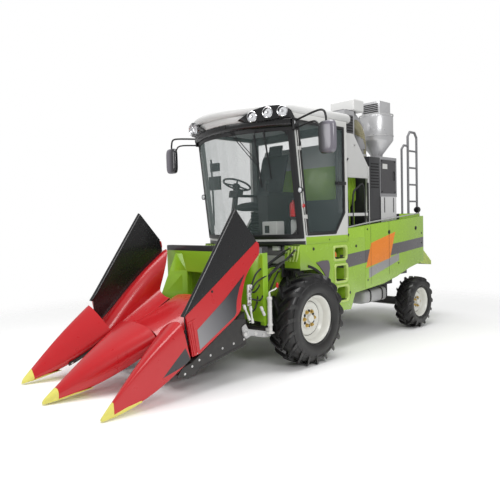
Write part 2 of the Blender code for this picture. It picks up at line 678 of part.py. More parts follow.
for side, sign in SIDES:
    join(cab, prism(side_outline, *span(sign, CAB_HALF - CAB_WALL, CAB_HALF - 0.001)))
join(cab, block((-CAB_HALF + 0.002, CAB_HALF - 0.002), (CAB_REAR_Y - CAB_WALL, CAB_REAR_Y - 0.002),
                (WALL_LOW_Z, CAB_TOP_Z - 0.001)))
for side, sign in SIDES:
    cut(cab, prism(door_opening(0), *span(sign, CAB_HALF - CAB_WALL - 0.050, CAB_HALF + 0.050)))
REAR_WINDOW_HALF = 0.700
REAR_WINDOW_LOW_Z = 1.900
REAR_WINDOW_TOP_Z = 2.740
cut(cab, block((-REAR_WINDOW_HALF, REAR_WINDOW_HALF), (CAB_REAR_Y - CAB_WALL - 0.050, CAB_REAR_Y + 0.050),
               (REAR_WINDOW_LOW_Z, REAR_WINDOW_TOP_Z)))

GLASS_SEAT = 0.0008          # putty line between a fixed glass and its opening
piece("rear_window",
      block((-REAR_WINDOW_HALF + GLASS_SEAT, REAR_WINDOW_HALF - GLASS_SEAT),
            (CAB_REAR_Y - 0.030, CAB_REAR_Y - 0.030 + GLASS_THICK),
            (REAR_WINDOW_LOW_Z + GLASS_SEAT, REAR_WINDOW_TOP_Z - GLASS_SEAT)),
      "glass", machine)
piece("right_window",
      prism(door_opening(GLASS_SEAT), -CAB_HALF + 0.015, -CAB_HALF + 0.015 + GLASS_THICK),
      "glass", machine)


def screen_ring(z, bulge):
    """One level of the windshield: an outer arc and an inner arc."""
    edge = pillar_y(z) - GAP
    outer = bow(CAB_HALF, edge - GLASS_THICK, bulge)
    inner = bow(CAB_HALF, edge, bulge)
    return [(x, y, z) for x, y in outer] + [(x, y, z) for x, y in reversed(inner)]


BAND_LOW_Z = PILLAR_TOP_Z
piece("windshield",
      loft([screen_ring(CAB_SILL_Z + GAP, SILL_BULGE),
            screen_ring((CAB_SILL_Z + BAND_LOW_Z) / 2, GLASS_BULGE),
            screen_ring(BAND_LOW_Z - GAP, GLASS_BULGE)]),
      "glass", machine)


def band_ring(z, forward, back):
    outer = bow(CAB_HALF, pillar_y(z) - forward, GLASS_BULGE)
    inner = bow(CAB_HALF, pillar_y(z) + back, GLASS_BULGE)
    return [(x, y, z) for x, y in outer] + [(x, y, z) for x, y in reversed(inner)]


BAND_TOP_Z = CAB_TOP_Z
lamp_band = piece("lamp_band",
                  loft([band_ring(BAND_LOW_Z, 0.030, -GAP), band_ring(BAND_TOP_Z, 0.040, -GAP)]),
                  "black_plastic", machine)


def pod_ring(sign, z, out):
    """One level of a lamp pod: a stretch of the band pushed forwards."""
    edge = pillar_y(z)
    outer = []
    inner = []
    for k in range(7):
        x = 0.300 + (CAB_HALF - 0.020 - 0.300) * k / 6
        y = edge - GLASS_BULGE * (1 - (x / CAB_HALF) ** 2)
        outer.append((sign * x, y - out, z))
        inner.append((sign * x, y - 0.015, z))
    return outer + inner[::-1]


for side, sign in SIDES:
    join(lamp_band, loft([pod_ring(sign, BAND_LOW_Z + 0.010, 0.070), pod_ring(sign, BAND_LOW_Z + 0.040, 0.110),
                          pod_ring(sign, BAND_TOP_Z - 0.030, 0.110), pod_ring(sign, BAND_TOP_Z - 0.004, 0.080)]))

ROOF_REAR_Y = 1.090
ROOF_FRONT_Y = -0.120
roof_low = CAB_TOP_Z + GAP


def roof_ring(z, inset, bulge):
    return [(x, y, z) for x, y in bow(CAB_HALF - inset, ROOF_FRONT_Y - ROOF_OVERHANG + inset * 1.5, bulge)] + \
           [(-CAB_HALF + inset, ROOF_REAR_Y - inset, z), (CAB_HALF - inset, ROOF_REAR_Y - inset, z)]


roof = piece("cab_roof",
             loft([roof_ring(roof_low, 0.012, 0.300), roof_ring(roof_low + 0.030, 0.0, 0.320),
                   roof_ring(2.955, 0.010, 0.320), roof_ring(2.985, 0.080, 0.300),
                   roof_ring(ROOF_CROWN_Z, 0.250, 0.240)]),
             "pale_paint", machine)

# The glass door hangs on the left front pillar.
DOOR_HINGE_X = CAB_HALF + 0.010
hinge_low = Vector((DOOR_HINGE_X, pillar_y(DOOR_LOW_Z) + PILLAR_WIDTH + SWING_GAP / 2, DOOR_LOW_Z))
hinge_top = Vector((DOOR_HINGE_X, pillar_y(DOOR_TOP_Z) + PILLAR_WIDTH + SWING_GAP / 2, DOOR_TOP_Z))
DOOR_THICK = 0.024
DOOR_BORDER = 0.030
DOOR_PANE = 0.005
door = piece("cab_door",
             prism(door_opening(SWING_GAP), CAB_HALF - DOOR_THICK, CAB_HALF - 0.001),
             "black_plastic", machine, hinge_low)
cut(door, prism(door_opening(SWING_GAP + DOOR_BORDER), CAB_HALF - DOOR_THICK - 0.050, CAB_HALF + 0.050))
KNUCKLE_RADIUS = 0.009
KNUCKLE_TALL = 0.050
hinge_line = (hinge_top - hinge_low).normalized()
for z in (DOOR_LOW_Z + 0.250, DOOR_TOP_Z - 0.300):
    middle = hinge_low + hinge_line * ((z - DOOR_LOW_Z) / hinge_line.z)
    for owner, up, reach in ((cab, -KNUCKLE_TALL, -0.035), (door, 0.0005, 0.026)):
        join(owner,
             disc(middle, KNUCKLE_RADIUS, up, up + KNUCKLE_TALL - 0.0005, hinge_line, 12),
             block((CAB_HALF - 0.004, CAB_HALF + 0.006), tuple(sorted((middle.y, middle.y + reach))),
                   (middle.z + up + 0.004, middle.z + up + KNUCKLE_TALL - 0.005)))
HANDLE_Z = 2.090
join(door, block((CAB_HALF - 0.012, CAB_HALF + 0.030), (DOOR_REAR_Y - 0.200, DOOR_REAR_Y - 0.020),
                 (HANDLE_Z - 0.020, HANDLE_Z + 0.020)))
door_pane = door_opening(SWING_GAP + DOOR_BORDER + GLASS_SEAT)
piece("door_glass", prism(door_pane, CAB_HALF - 0.018, CAB_HALF - 0.018 + DOOR_PANE), "glass", machine, hinge_low)

SEAT_X = -0.250
SEAT_Y = 0.480
SEAT_TOP_Z = 1.900
seat_base = piece("seat_base",
                  block((SEAT_X - 0.220, SEAT_X + 0.220), (SEAT_Y - 0.220, SEAT_Y + 0.240),
                        (CAB_SILL_Z + GAP, SEAT_TOP_Z - 0.140)),
                  "black_plastic", machine)
join(seat_base, block((SEAT_X + 0.300, SEAT_X + 0.480), (SEAT_Y - 0.350, SEAT_Y + 0.250),
                      (CAB_SILL_Z + GAP, 2.020)),
     block((SEAT_X + 0.200, SEAT_X + 0.320), (SEAT_Y - 0.150, SEAT_Y + 0.150),
           (CAB_SILL_Z + GAP, 1.600)))
piece("seat_cushion",
      prism([(SEAT_Y - 0.260, SEAT_TOP_Z - 0.130), (SEAT_Y + 0.240, SEAT_TOP_Z - 0.1397), (SEAT_Y + 0.240, SEAT_TOP_Z),
             (SEAT_Y - 0.240, SEAT_TOP_Z + 0.010), (SEAT_Y - 0.270, SEAT_TOP_Z - 0.030)],
            SEAT_X - 0.250, SEAT_X + 0.250),
      "cloth", machine)
piece("seat_back",
      prism([(SEAT_Y + 0.130, SEAT_TOP_Z + 0.0032), (SEAT_Y + 0.240, SEAT_TOP_Z + GAP * 1.5), (SEAT_Y + 0.380, 2.560),
             (SEAT_Y + 0.290, 2.570), (SEAT_Y + 0.160, 2.100)],
            SEAT_X - 0.240, SEAT_X + 0.240),
      "cloth", machine)

WHEEL_RADIUS = 0.190
COLUMN_FOOT = Vector((SEAT_X, -0.040, CAB_SILL_Z + GAP))
COLUMN_HEAD = Vector((SEAT_X, 0.060, 2.120))
column = piece("steering_column",
               block((SEAT_X - 0.090, SEAT_X + 0.090), (-0.120, 0.060), (CAB_SILL_Z + GAP, CAB_SILL_Z + 0.100)),
               "black_plastic", machine)
ring_profile = [(WHEEL_RADIUS + 0.014 * math.cos(a), 0.014 * math.sin(a))
                for a in (k * math.pi / 3 for k in range(6))]
join(column,
     rod(COLUMN_FOOT + Vector((0, 0, 0.050)), COLUMN_HEAD, 0.035, 12),
     turned(ring_profile, COLUMN_HEAD, Vector((0, 0.5, 1)), 20),
     rod(COLUMN_HEAD + Vector((-WHEEL_RADIUS, 0, 0)), COLUMN_HEAD + Vector((WHEEL_RADIUS, 0, 0)), 0.012, 8))

# Mirrors stand out from the front pillars on two tubes.
MIRROR_X = 1.360
MIRROR_Z = 2.520
MIRROR_HALF = 0.110
MIRROR_TALL = 0.350
for side, sign in SIDES:
    mirror_y = -0.140
    head = [(-0.030, -0.160), (0.010, -0.175), (0.030, -0.160), (0.030, 0.160), (0.010, 0.175), (-0.030, 0.160)]
    mirror = piece(f"{side}_mirror",
                   prism([(mirror_y + a, MIRROR_Z + b) for a, b in head],
                         *span(sign, MIRROR_X - MIRROR_HALF, MIRROR_X + MIRROR_HALF)),
                   "black_plastic", machine)
    foot_x = CAB_HALF - 0.001 + GAP
    for z in (MIRROR_Z + 0.080, MIRROR_Z + 0.250):
        foot_y = pillar_y(z) + 0.020
        join(mirror, pipe([(sign * foot_x, foot_y, z), (sign * (foot_x + 0.060), foot_y, z),
                           (sign * (MIRROR_X - 0.020), mirror_y, MIRROR_Z + 0.220),
                           (sign * MIRROR_X, mirror_y, MIRROR_Z + 0.150)], 0.012, 8))

# ---------------------------------------------------------------- behind the cab
TANK_Y = (1.020, 1.500)
TANK_HALF = 0.600
TANK_TOP_Z = 2.640
grain_tank = piece("grain_tank",
                   prism([(-0.700, 2.500), (-0.640, TANK_TOP_Z), (0.540, TANK_TOP_Z), (TANK_HALF, 2.500),
                          (TANK_HALF, 1.900), (0.350, 1.650), (-0.450, 1.650), (-0.700, 1.900)], *TANK_Y, axis="y"),
                   "lime_paint", machine)
join(grain_tank, prism(on_deck(TANK_Y[0] + 0.040, TANK_Y[1] - 0.040, 1.660), -0.400, 0.300))

RACK_OUTER = 0.800
RACK_Y = (0.985, 1.530)
RACK_TOP_Z = 2.750
POST = 0.040
rack_x = (RACK_OUTER - POST, RACK_OUTER)
bar_x = (RACK_OUTER - POST + 0.002, RACK_OUTER - 0.002)
rack = piece("sampling_rack", prism(on_deck(RACK_Y[0], RACK_Y[0] + POST, RACK_TOP_Z), *rack_x),
             "pale_paint", machine)
join(rack, prism(on_deck(RACK_Y[1] - POST, RACK_Y[1], 2.340), *rack_x))
for z in (1.680, 2.180):
    join(rack, block(bar_x, (RACK_Y[0] + 0.010, RACK_Y[1] - 0.010), (z, z + POST)))
join(rack,
     prism([(RACK_Y[0] + 0.005, 2.210), (RACK_Y[1] - 0.005, 2.210), (RACK_Y[1] - 0.005, 2.335),
            (RACK_Y[0] + 0.200, 2.745), (RACK_Y[0] + 0.005, 2.745)], RACK_OUTER - 0.030, RACK_OUTER - 0.010),
     block((TANK_HALF + GAP, RACK_OUTER - 0.020), (RACK_Y[0] + 0.060, RACK_Y[0] + 0.100), (2.300, 2.340)))

INTAKE_X = (0.300, 0.720)
CABINET_TOP_Z = 2.480
duct = piece("intake_duct",
             block(INTAKE_X, (ROOF_REAR_Y + 0.003, ROOF_REAR_Y + 0.220), (2.700, 3.060)),
             "grey_paint", machine)
join(duct, pipe([(0.560, ROOF_REAR_Y + 0.150, 2.950), (0.560, ROOF_REAR_Y + 0.400, 3.000),
                 (0.560, ROOF_REAR_Y + 0.540, 2.900), (0.560, ROOF_REAR_Y + 0.570, 2.600)], 0.085, 12),
     disc((0.560, ROOF_REAR_Y + 0.570, 0), 0.070, CABINET_TOP_Z + GAP, 2.640, "z", 12))

CYCLONE_X = 0.540
CYCLONE_Y = 2.130
cabinets = piece("service_cabinets", prism(on_deck(1.560, 1.830, CABINET_TOP_Z), 0.400, 0.780),
                 "black_plastic", machine)
join(cabinets,
     block((0.420, 0.770), (1.828, 2.290), (1.940, CABINET_TOP_Z + 0.020)),
     prism(on_deck(1.826, 2.240, 1.942), 0.440, 0.790))
cyclone = piece("cyclone",
                turned([(0, CABINET_TOP_Z + 0.020 + GAP), (0.080, CABINET_TOP_Z + 0.020 + GAP), (0.090, 2.560),
                        (0.230, 2.740), (0.240, 2.760), (0.240, 3.090), (0.200, 3.120), (0, 3.120)],
                       (CYCLONE_X, CYCLONE_Y, 0), "z", 24),
                "grey_paint", machine)
round_off(cyclone)
join(cyclone, block((CYCLONE_X - 0.150, CYCLONE_X + 0.150), (CYCLONE_Y - 0.140, CYCLONE_Y + 0.140), (3.110, 3.300)))

ENGINE_X = (-0.620, 0.100)
piece("engine_block",
      prism(on_deck(1.750, 2.250, 2.350), *ENGINE_X),
      "grey_paint", machine)

LADDER_X = 0.780
LADDER_Y = (BODY_REAR_Y - 0.340, BODY_REAR_Y - 0.080)
ladder = piece("rear_ladder",
               pipe([(LADDER_X, LADDER_Y[0], DECK_REAR_Z + GAP), (LADDER_X, LADDER_Y[0], 2.840),
                     (LADDER_X, LADDER_Y[0] + 0.060, 2.910), (LADDER_X, LADDER_Y[1] - 0.060, 2.910),
                     (LADDER_X, LADDER_Y[1], 2.840), (LADDER_X, LADDER_Y[1], DECK_REAR_Z + GAP)], 0.018, 8),
               "zinc", machine)
for k in range(4):
    z = DECK_REAR_Z + 0.180 + k * 0.250
    join(ladder, rod((LADDER_X, LADDER_Y[0], z), (LADDER_X, LADDER_Y[1], z), 0.014, 8))
RAIL_START = DECK_STEP_Y + 0.120
join(ladder, pipe([(LADDER_X, LADDER_Y[0] + 0.004, 2.700), (LADDER_X, RAIL_START + 0.060, 2.700),
                   (LADDER_X, RAIL_START, 2.640), (LADDER_X, RAIL_START, DECK_REAR_Z + GAP)], 0.016, 8))

# ---------------------------------------------------------------- feeder house
LIFT = (0, LIFT_Y, LIFT_Z)
feeder = piece("feeder_housing",
               prism([(LIFT_Y + 0.035, LIFT_Z + 0.035), (LIFT_Y + 0.035, LIFT_Z - 0.045), (FEEDER_REAR_Y, 0.900),
                      (FEEDER_REAR_Y, 0.760), (FEEDER_FRONT_Y, 0.560), (FEEDER_FRONT_Y, 1.090),
                      (FEEDER_REAR_Y - 0.020, LIFT_Z + 0.060)], -FEEDER_HALF, FEEDER_HALF),
               "lime_paint", machine, LIFT)
join(feeder, disc(LIFT, LIFT_PIN_RADIUS, -EAR_X + GAP, EAR_X - GAP, "x", 12))
for side, sign in SIDES:
    for ear in (-1, 1):
        inner = CYLINDER_X + ear * (EYE_HALF + 0.0005 + EAR_THICK / 2) - EAR_THICK / 2
        lug_low = CYLINDER_EYE_Z - EYE_RADIUS
        join(feeder, prism([(CYLINDER_EYE_Y + 0.060, 0.620), (CYLINDER_EYE_Y - 0.035, 0.600),
                            (CYLINDER_EYE_Y - 0.035, lug_low), (CYLINDER_EYE_Y + 0.030, lug_low)],
                           *span(sign, inner, inner + EAR_THICK)))

cut(feeder, block((-THROAT_HALF - 0.010, THROAT_HALF + 0.010),
                  (FEEDER_FRONT_Y - 0.100, FEEDER_FRONT_Y + MOUTH_DEPTH),
                  (THROAT_LOW_Z - 0.020, THROAT_TOP_Z - 0.020)))

# Lift cylinders: each barrel swings on the axle and its rod reaches the feeder.
BARREL_LENGTH = 0.330
ROD_LENGTH = 0.345
BORE_CLEARANCE = 0.0015
for side, sign in SIDES:
    base = Vector((sign * CYLINDER_X, CYLINDER_BASE_Y, CYLINDER_BASE_Z))
    eye = Vector((sign * CYLINDER_X, CYLINDER_EYE_Y, CYLINDER_EYE_Z))
    reach = (eye - base).length
    along = (eye - base).normalized()
    bore = ROD_RADIUS + BORE_CLEARANCE
    barrel = piece(f"{side}_lift_barrel",
                   turned([(0, 0.010), (0.019, 0.010), (0.019, 0.040), (CYLINDER_RADIUS, 0.052),
                           (CYLINDER_RADIUS, BARREL_LENGTH), (bore, BARREL_LENGTH), (bore, 0.060), (0, 0.060)],
                          base, along, 16),
                   "zinc", machine, base)
    join(barrel, disc(base, EYE_RADIUS, -EYE_HALF, EYE_HALF, "x", 14))
    rod_piece = piece(f"{side}_lift_rod",
                      turned([(0, reach - ROD_LENGTH), (ROD_RADIUS, reach - ROD_LENGTH),
                              (ROD_RADIUS, reach), (0, reach)], base, along, 16),
                      "chrome", machine, base)
    join(rod_piece, disc(eye, EYE_RADIUS, -EYE_HALF, EYE_HALF, "x", 14))

# ---------------------------------------------------------------- header
header = piece("header_frame",
               block((-HEADER_HALF + SHROUD_THICK, HEADER_HALF - SHROUD_THICK),
                     (HEADER_BACK_Y - HEADER_BEAM / 2, HEADER_BACK_Y + HEADER_BEAM / 2 + 0.0097),
                     (HEADER_TOP_Z - HEADER_BEAM, HEADER_TOP_Z)),
               "black_steel", machine, LIFT)
back = (HEADER_BACK_Y - HEADER_BEAM / 2 + 0.002, HEADER_BACK_Y + HEADER_BEAM / 2 + 0.0087)
join(header,
     block((-HEADER_HALF + SHROUD_THICK + 0.002, HEADER_HALF - SHROUD_THICK - 0.002), back, (0.420, 0.500)))
for side, sign in SIDES:
    join(header, block(span(sign, HEADER_HALF - SHROUD_THICK - 0.064, HEADER_HALF - SHROUD_THICK - 0.004), back,
                       (0.430, HEADER_TOP_Z - 0.010)))
# Its sheet back has the throat to the feeder, with funnel walls on each side.
sheet_front = HEADER_BACK_Y - HEADER_BEAM / 2
SHEET = 0.012
join(header, block((-HEADER_HALF + SHROUD_THICK + 0.002, HEADER_HALF - SHROUD_THICK - 0.002),
                   (sheet_front - SHEET, sheet_front + 0.004), (0.560, HEADER_TOP_Z - 0.004)))
FUNNEL_LEVELS = ((0.722, 0.640, THROAT_HALF + 0.004), (1.060, 0.640, THROAT_HALF + 0.004), (1.270, 0.630, 0.530))
for side, sign in SIDES:
    rings = []
    for z, front_x, rear_x in FUNNEL_LEVELS:
        front_y = HOOD_END_LOW_Y + (z - HOOD_END_LOW_Z) * HOOD_END_SLOPE + 0.012
        ring = [(front_x, front_y), (rear_x, sheet_front - 0.004), (rear_x + 0.018, sheet_front - 0.002),
                (front_x + 0.008, front_y + 0.016)]
        rings.append([(sign * x, y, z) for x, y in ring])
    join(header, loft(rings))
for side, sign in SIDES:
    join(header, block(span(sign, THROAT_HALF + 0.005, FEEDER_HALF + 0.015),
                       (sheet_front + 0.002, FEEDER_FRONT_Y - GAP), (0.490, HEADER_TOP_Z - 0.020)))
cut(header, block((-THROAT_HALF, THROAT_HALF), (sheet_front - 0.100, sheet_front + 0.200),
                  (THROAT_LOW_Z, THROAT_TOP_Z)))

# A shroud is the red side panel with the ridge that guides stalks into its row.
FIN_FOOT_FRONT = (-1.780, 0.745)
FIN_FOOT_REAR = (-0.755, 1.440)
HOOD_FRONT_Y = -1.640
HOOD_REAR_Y = -0.930


def slot_z(y):
    """Height of the hoods' edges along a row's slot."""
    return 0.540 + (y + 1.320) * 0.538


def ridge_z(y):
    """Height of the ridge beside the fin."""
    return 0.620 + (y + 1.450) * 0.905


RIDGE_X = 0.800
shroud_inner = HEADER_HALF - SHROUD_THICK
shroud_outline = [
    (-1.718, 0.745 + (1.780 - 1.718) * 0.678 - GAP * 2), (-1.655, 0.385), (-1.560, 0.400), (-1.090, 0.670),
    (-0.990, 0.850), (-0.940, 1.050), (-0.720, 1.290), (-0.720, 1.420), (FIN_FOOT_REAR[0], FIN_FOOT_REAR[1] - GAP * 2),
]
HOOD_STATIONS = (HOOD_FRONT_Y, -1.300, -1.000)
RIDGE_DEPTH = 0.080
SKIN_DEPTH = 0.040
for side, sign in SIDES:
    shroud = piece(f"{side}_shroud", prism(shroud_outline, *span(sign, shroud_inner, HEADER_HALF)),
                   "red_plastic", machine, LIFT)
    rings = []
    for front_y, rear_y in [(y, y) for y in HOOD_STATIONS] + [(HOOD_END_LOW_Y, HOOD_END_TOP_Y)]:
        inner = ROW_X + SLOT_HALF
        low, ridge = slot_z(front_y), ridge_z(rear_y)
        width = RIDGE_X - inner
        rise = ridge - low
        skin = ((inner, low, 0.035), (inner + width * 0.45, low + rise * 0.22, SKIN_DEPTH),
                (inner + width * 0.80, low + rise * 0.70, SKIN_DEPTH), (RIDGE_X, ridge, SKIN_DEPTH),
                (shroud_inner + 0.002, ridge - 0.010, RIDGE_DEPTH))
        ring = [(x, z) for x, z, depth in skin] + [(x, z - depth) for x, z, depth in reversed(skin)]
        reach = (rear_y - front_y) / rise
        rings.append([(sign * x, front_y + max(z - low, 0) * reach, z) for x, z in ring])
    join(shroud, loft(rings))

    fin_outline = [FIN_FOOT_FRONT, (-1.075, 1.765), (-1.040, 1.780), (-0.985, 1.765), FIN_FOOT_REAR]
    piece(f"{side}_fin", prism(fin_outline, *span(sign, HEADER_HALF - FIN_THICK, HEADER_HALF)),
          "black_plastic", machine, LIFT)

rings = []
for y in (HOOD_FRONT_Y, -1.400, -1.150, HOOD_REAR_Y):
    low = slot_z(y)
    top = 0.565 + (y - HOOD_FRONT_Y) * 0.360
    half = ROW_X - SLOT_HALF
    ring = []
    for share, rise in ((-1, 0), (-0.85, 0.55), (-0.5, 0.90), (0, 1), (0.5, 0.90), (0.85, 0.55), (1, 0)):
        ring.append((share * half, y, low + rise * (top - low)))
    ring += [(half, y, low - 0.035), (-half, y, low - 0.035)]
    rings.append(ring)
piece("middle_hood", loft(rings), "red_plastic", machine, LIFT)

# Black steel under the hoods: row units, side plates, skids and hinge arms.
NOSE_PIN_RADIUS = 0.009
NOSE_ARM_HALF = 0.012
under = 0.035 + GAP
row_frame = piece("row_unit_frame",
                  prism([(HOOD_FRONT_Y, 0.250), (HOOD_FRONT_Y, slot_z(HOOD_FRONT_Y) - under),
                         (HOOD_REAR_Y, slot_z(HOOD_REAR_Y) - under), (HOOD_REAR_Y, 0.400), (-1.200, 0.330)],
                        -shroud_inner + GAP, shroud_inner - GAP),
                  "black_steel", machine, LIFT)
join(row_frame,
     prism([(HOOD_REAR_Y - 0.010, slot_z(HOOD_REAR_Y) - under - 0.008), (HEADER_BACK_Y - 0.046, 0.555),
            (back[0] - GAP, 0.520), (back[0] - GAP, 0.440), (HOOD_REAR_Y - 0.010, 0.402)], -0.600, 0.600))
for side, sign in SIDES:
    cut(row_frame, block(span(sign, ROW_X - SLOT_HALF, ROW_X + SLOT_HALF), (HOOD_FRONT_Y - 0.050, -0.960),
                         (0.100, 1.000)))
plate_outline = [(-1.820, 0.240), (-1.750, 0.200), (-1.560, 0.330), (-0.940, 0.405), (-0.940, 0.640),
                 (-1.090, 0.600), (-1.560, 0.365), (-1.640, 0.325), (-1.740, 0.300)]
for side, sign in SIDES:
    join(row_frame, prism(plate_outline, *span(sign, shroud_inner - 0.016, shroud_inner - 0.001)))
NOSE_ARM_X = RIDGE_X - 0.010
NOSE_ARM_END = 0.018
NOSE_ARMS = ((-NOSE_ARM_X, SIDE_HINGE_Y, SIDE_HINGE_Z), (0, MIDDLE_HINGE_Y, MIDDLE_HINGE_Z),
             (NOSE_ARM_X, SIDE_HINGE_Y, SIDE_HINGE_Z))
for x, pin_y, pin_z in NOSE_ARMS:
    arm = [(HOOD_FRONT_Y + 0.010, 0.262), (HOOD_FRONT_Y - 0.028, 0.262), (HOOD_FRONT_Y - 0.028, 0.430),
           (pin_y - NOSE_ARM_END, pin_z - 0.012), (pin_y - NOSE_ARM_END * 0.7, pin_z + NOSE_ARM_END * 0.7),
           (pin_y, pin_z + NOSE_ARM_END), (pin_y + NOSE_ARM_END, pin_z),
           (HOOD_FRONT_Y - 0.006, 0.480), (HOOD_FRONT_Y - 0.006, 0.325), (HOOD_FRONT_Y + 0.010, 0.325)]
    join(row_frame, prism(arm, x - NOSE_ARM_HALF, x + NOSE_ARM_HALF))
for x, pin_y, pin_z in NOSE_ARMS:
    cut(row_frame, disc((0, pin_y, pin_z), NOSE_PIN_RADIUS + 0.001, x - 0.030, x + 0.030, "x", 12))

# A nose is a thin shell, open behind, that folds up on its pin.
NOSE_WALL = 0.010
OUTER_SECTION = ((0.0, 0.02), (0.0, 0.82), (0.05, 0.96), (0.13, 1.0), (0.34, 0.94), (0.62, 0.77), (0.86, 0.55),
                 (1.0, 0.37), (0.96, 0.27), (0.55, 0.0))
MIDDLE_SECTION = ((0.14, 0.0), (0.02, 0.28), (0.0, 0.52), (0.05, 0.72), (0.18, 0.92), (0.5, 1.0), (0.82, 0.92),
                  (0.95, 0.72), (1.0, 0.52), (0.98, 0.28), (0.86, 0.0))
NOSE_FOOT = (-1.680, 0.360)      # lower rear corner of every nose
NOSE_BELLY = 0.070


def nose_ring(nose, share, wall=0.0):
    """One slanted section of a nose: share is 0 at the tip and 1 at the rear."""
    top = Vector((0, *nose["top"]))
    foot = Vector((0, *NOSE_FOOT))
    tip = Vector((0, -nose["reach"], NOSE_TIP_Z))
    swell = math.sin(math.pi * min(share, 1.0))
    high = (tip + Vector((0, 0.010, 0.020))).lerp(top, share) + Vector((0, 0, 0.030 * swell))
    low = (tip - Vector((0, 0, 0.018))).lerp(foot, share) - Vector((0, 0, NOSE_BELLY * swell))
    near = nose["outer"][0] + share * (nose["outer"][1] - nose["outer"][0])
    far = nose["inner"][0] + share * (nose["inner"][1] - nose["inner"][0])
    tall = (high - low).length
    ring = []
    for u, v in nose["section"]:
        u = 0.5 + (u - 0.5) * (1 - 2 * wall / abs(near - far))
        v = 0.5 + (v - 0.5) * (1 - 2 * wall / tall)
        place = low.lerp(high, v)
        back_set = nose["skew"] * share * (1 - u) * v
        ring.append((nose["sign"] * (near + u * (far - near)), place.y + back_set, place.z))
    return ring


slot_side = SLOT_HALF + 0.006
outer_nose = {"section": OUTER_SECTION, "reach": SIDE_TIP_REACH, "top": (-1.850, 0.735), "skew": 0.075,
              "outer": (0.825, HEADER_HALF), "inner": (0.795, ROW_X + slot_side),
              "hinge": (SIDE_HINGE_Y, SIDE_HINGE_Z), "pin": (0.700, HEADER_HALF - 0.004)}
middle_nose = {"section": MIDDLE_SECTION, "reach": MIDDLE_TIP_REACH, "top": (-1.730, 0.630), "skew": 0.0,
               "outer": (0.015, ROW_X - slot_side), "inner": (-0.015, slot_side - ROW_X),
               "hinge": (MIDDLE_HINGE_Y, MIDDLE_HINGE_Z), "pin": (-0.290, 0.290), "sign": 1}
NOSES = (("left_nose", {**outer_nose, "sign": 1}), ("middle_nose", middle_nose),
         ("right_nose", {**outer_nose, "sign": -1}))
for name, nose in NOSES:
    hinge = (0, *nose["hinge"])
    shell = piece(name, loft([nose_ring(nose, s) for s in (0.0, 0.15, 0.35, 0.55, 0.75, 0.90, 1.0)]),
                  "red_plastic", machine, hinge)
    cut(shell, loft([nose_ring(nose, s, NOSE_WALL) for s in (0.35, 0.55, 0.75, 0.90, 1.05)]))
    join(shell, disc(hinge, NOSE_PIN_RADIUS, *span(nose["sign"], *nose["pin"]), "x", 12))

# The screw jack that props the header off the machine.
JACK_X = HEADER_HALF + 0.016
JACK_Y = -0.598
jack = piece("support_jack",
             turned([(0, 0.440), (0.045, 0.440), (0.045, 0.452), (0.024, 0.456), (0.024, 0.830), (0.012, 0.836),
                     (0.012, 0.870), (0, 0.870)], (JACK_X, JACK_Y, 0), "z", 12),
             "pale_paint", machine, LIFT)
join(jack,
     block((shroud_inner - 0.0017, JACK_X), (JACK_Y - 0.025, JACK_Y + 0.025), (0.460, 0.496)),
     pipe([(JACK_X, JACK_Y, 0.860), (JACK_X, JACK_Y, 0.890), (JACK_X + 0.040, JACK_Y + 0.030, 0.930),
           (JACK_X + 0.040, JACK_Y + 0.030, 0.990)], 0.010, 8))
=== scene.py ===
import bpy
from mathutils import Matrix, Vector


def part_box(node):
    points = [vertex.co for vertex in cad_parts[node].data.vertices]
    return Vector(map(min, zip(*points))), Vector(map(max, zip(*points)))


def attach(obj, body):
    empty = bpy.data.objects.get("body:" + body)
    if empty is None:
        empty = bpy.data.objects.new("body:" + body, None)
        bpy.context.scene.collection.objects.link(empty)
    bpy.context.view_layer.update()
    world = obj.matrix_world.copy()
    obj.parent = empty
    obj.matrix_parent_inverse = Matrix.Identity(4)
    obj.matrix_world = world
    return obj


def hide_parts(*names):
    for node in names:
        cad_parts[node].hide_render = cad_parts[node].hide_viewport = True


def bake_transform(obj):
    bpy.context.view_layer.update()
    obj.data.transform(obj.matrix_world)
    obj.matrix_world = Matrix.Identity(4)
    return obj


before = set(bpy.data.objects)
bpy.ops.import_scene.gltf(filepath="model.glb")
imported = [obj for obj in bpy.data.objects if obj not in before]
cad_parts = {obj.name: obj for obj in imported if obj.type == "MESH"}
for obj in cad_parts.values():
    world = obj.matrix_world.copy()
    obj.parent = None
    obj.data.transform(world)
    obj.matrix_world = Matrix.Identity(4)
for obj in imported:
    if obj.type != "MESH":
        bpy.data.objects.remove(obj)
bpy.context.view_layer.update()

import math

import bmesh
import bpy
from mathutils import Matrix, Vector

# ------------------------------------------------------------------ studio
# A pale floor that runs out to a white room, a large soft light over the
# machine, a key from its front left and a weak fill from its right.
scene = bpy.context.scene
scene.view_settings.view_transform = "Standard"

world = bpy.data.worlds.new("studio_room")
world.use_nodes = True
room_light = world.node_tree.nodes["Background"]
room_light.inputs["Color"].default_value = (1.0, 1.0, 1.0, 1.0)
AMBIENT = 0.50               # the white backdrop itself shows at 1
seen = world.node_tree.nodes.new("ShaderNodeLightPath")
level = world.node_tree.nodes.new("ShaderNodeMapRange")
level.inputs["To Min"].default_value = AMBIENT
world.node_tree.links.new(seen.outputs["Is Camera Ray"], level.inputs["Value"])
world.node_tree.links.new(level.outputs["Result"], room_light.inputs["Strength"])
scene.world = world

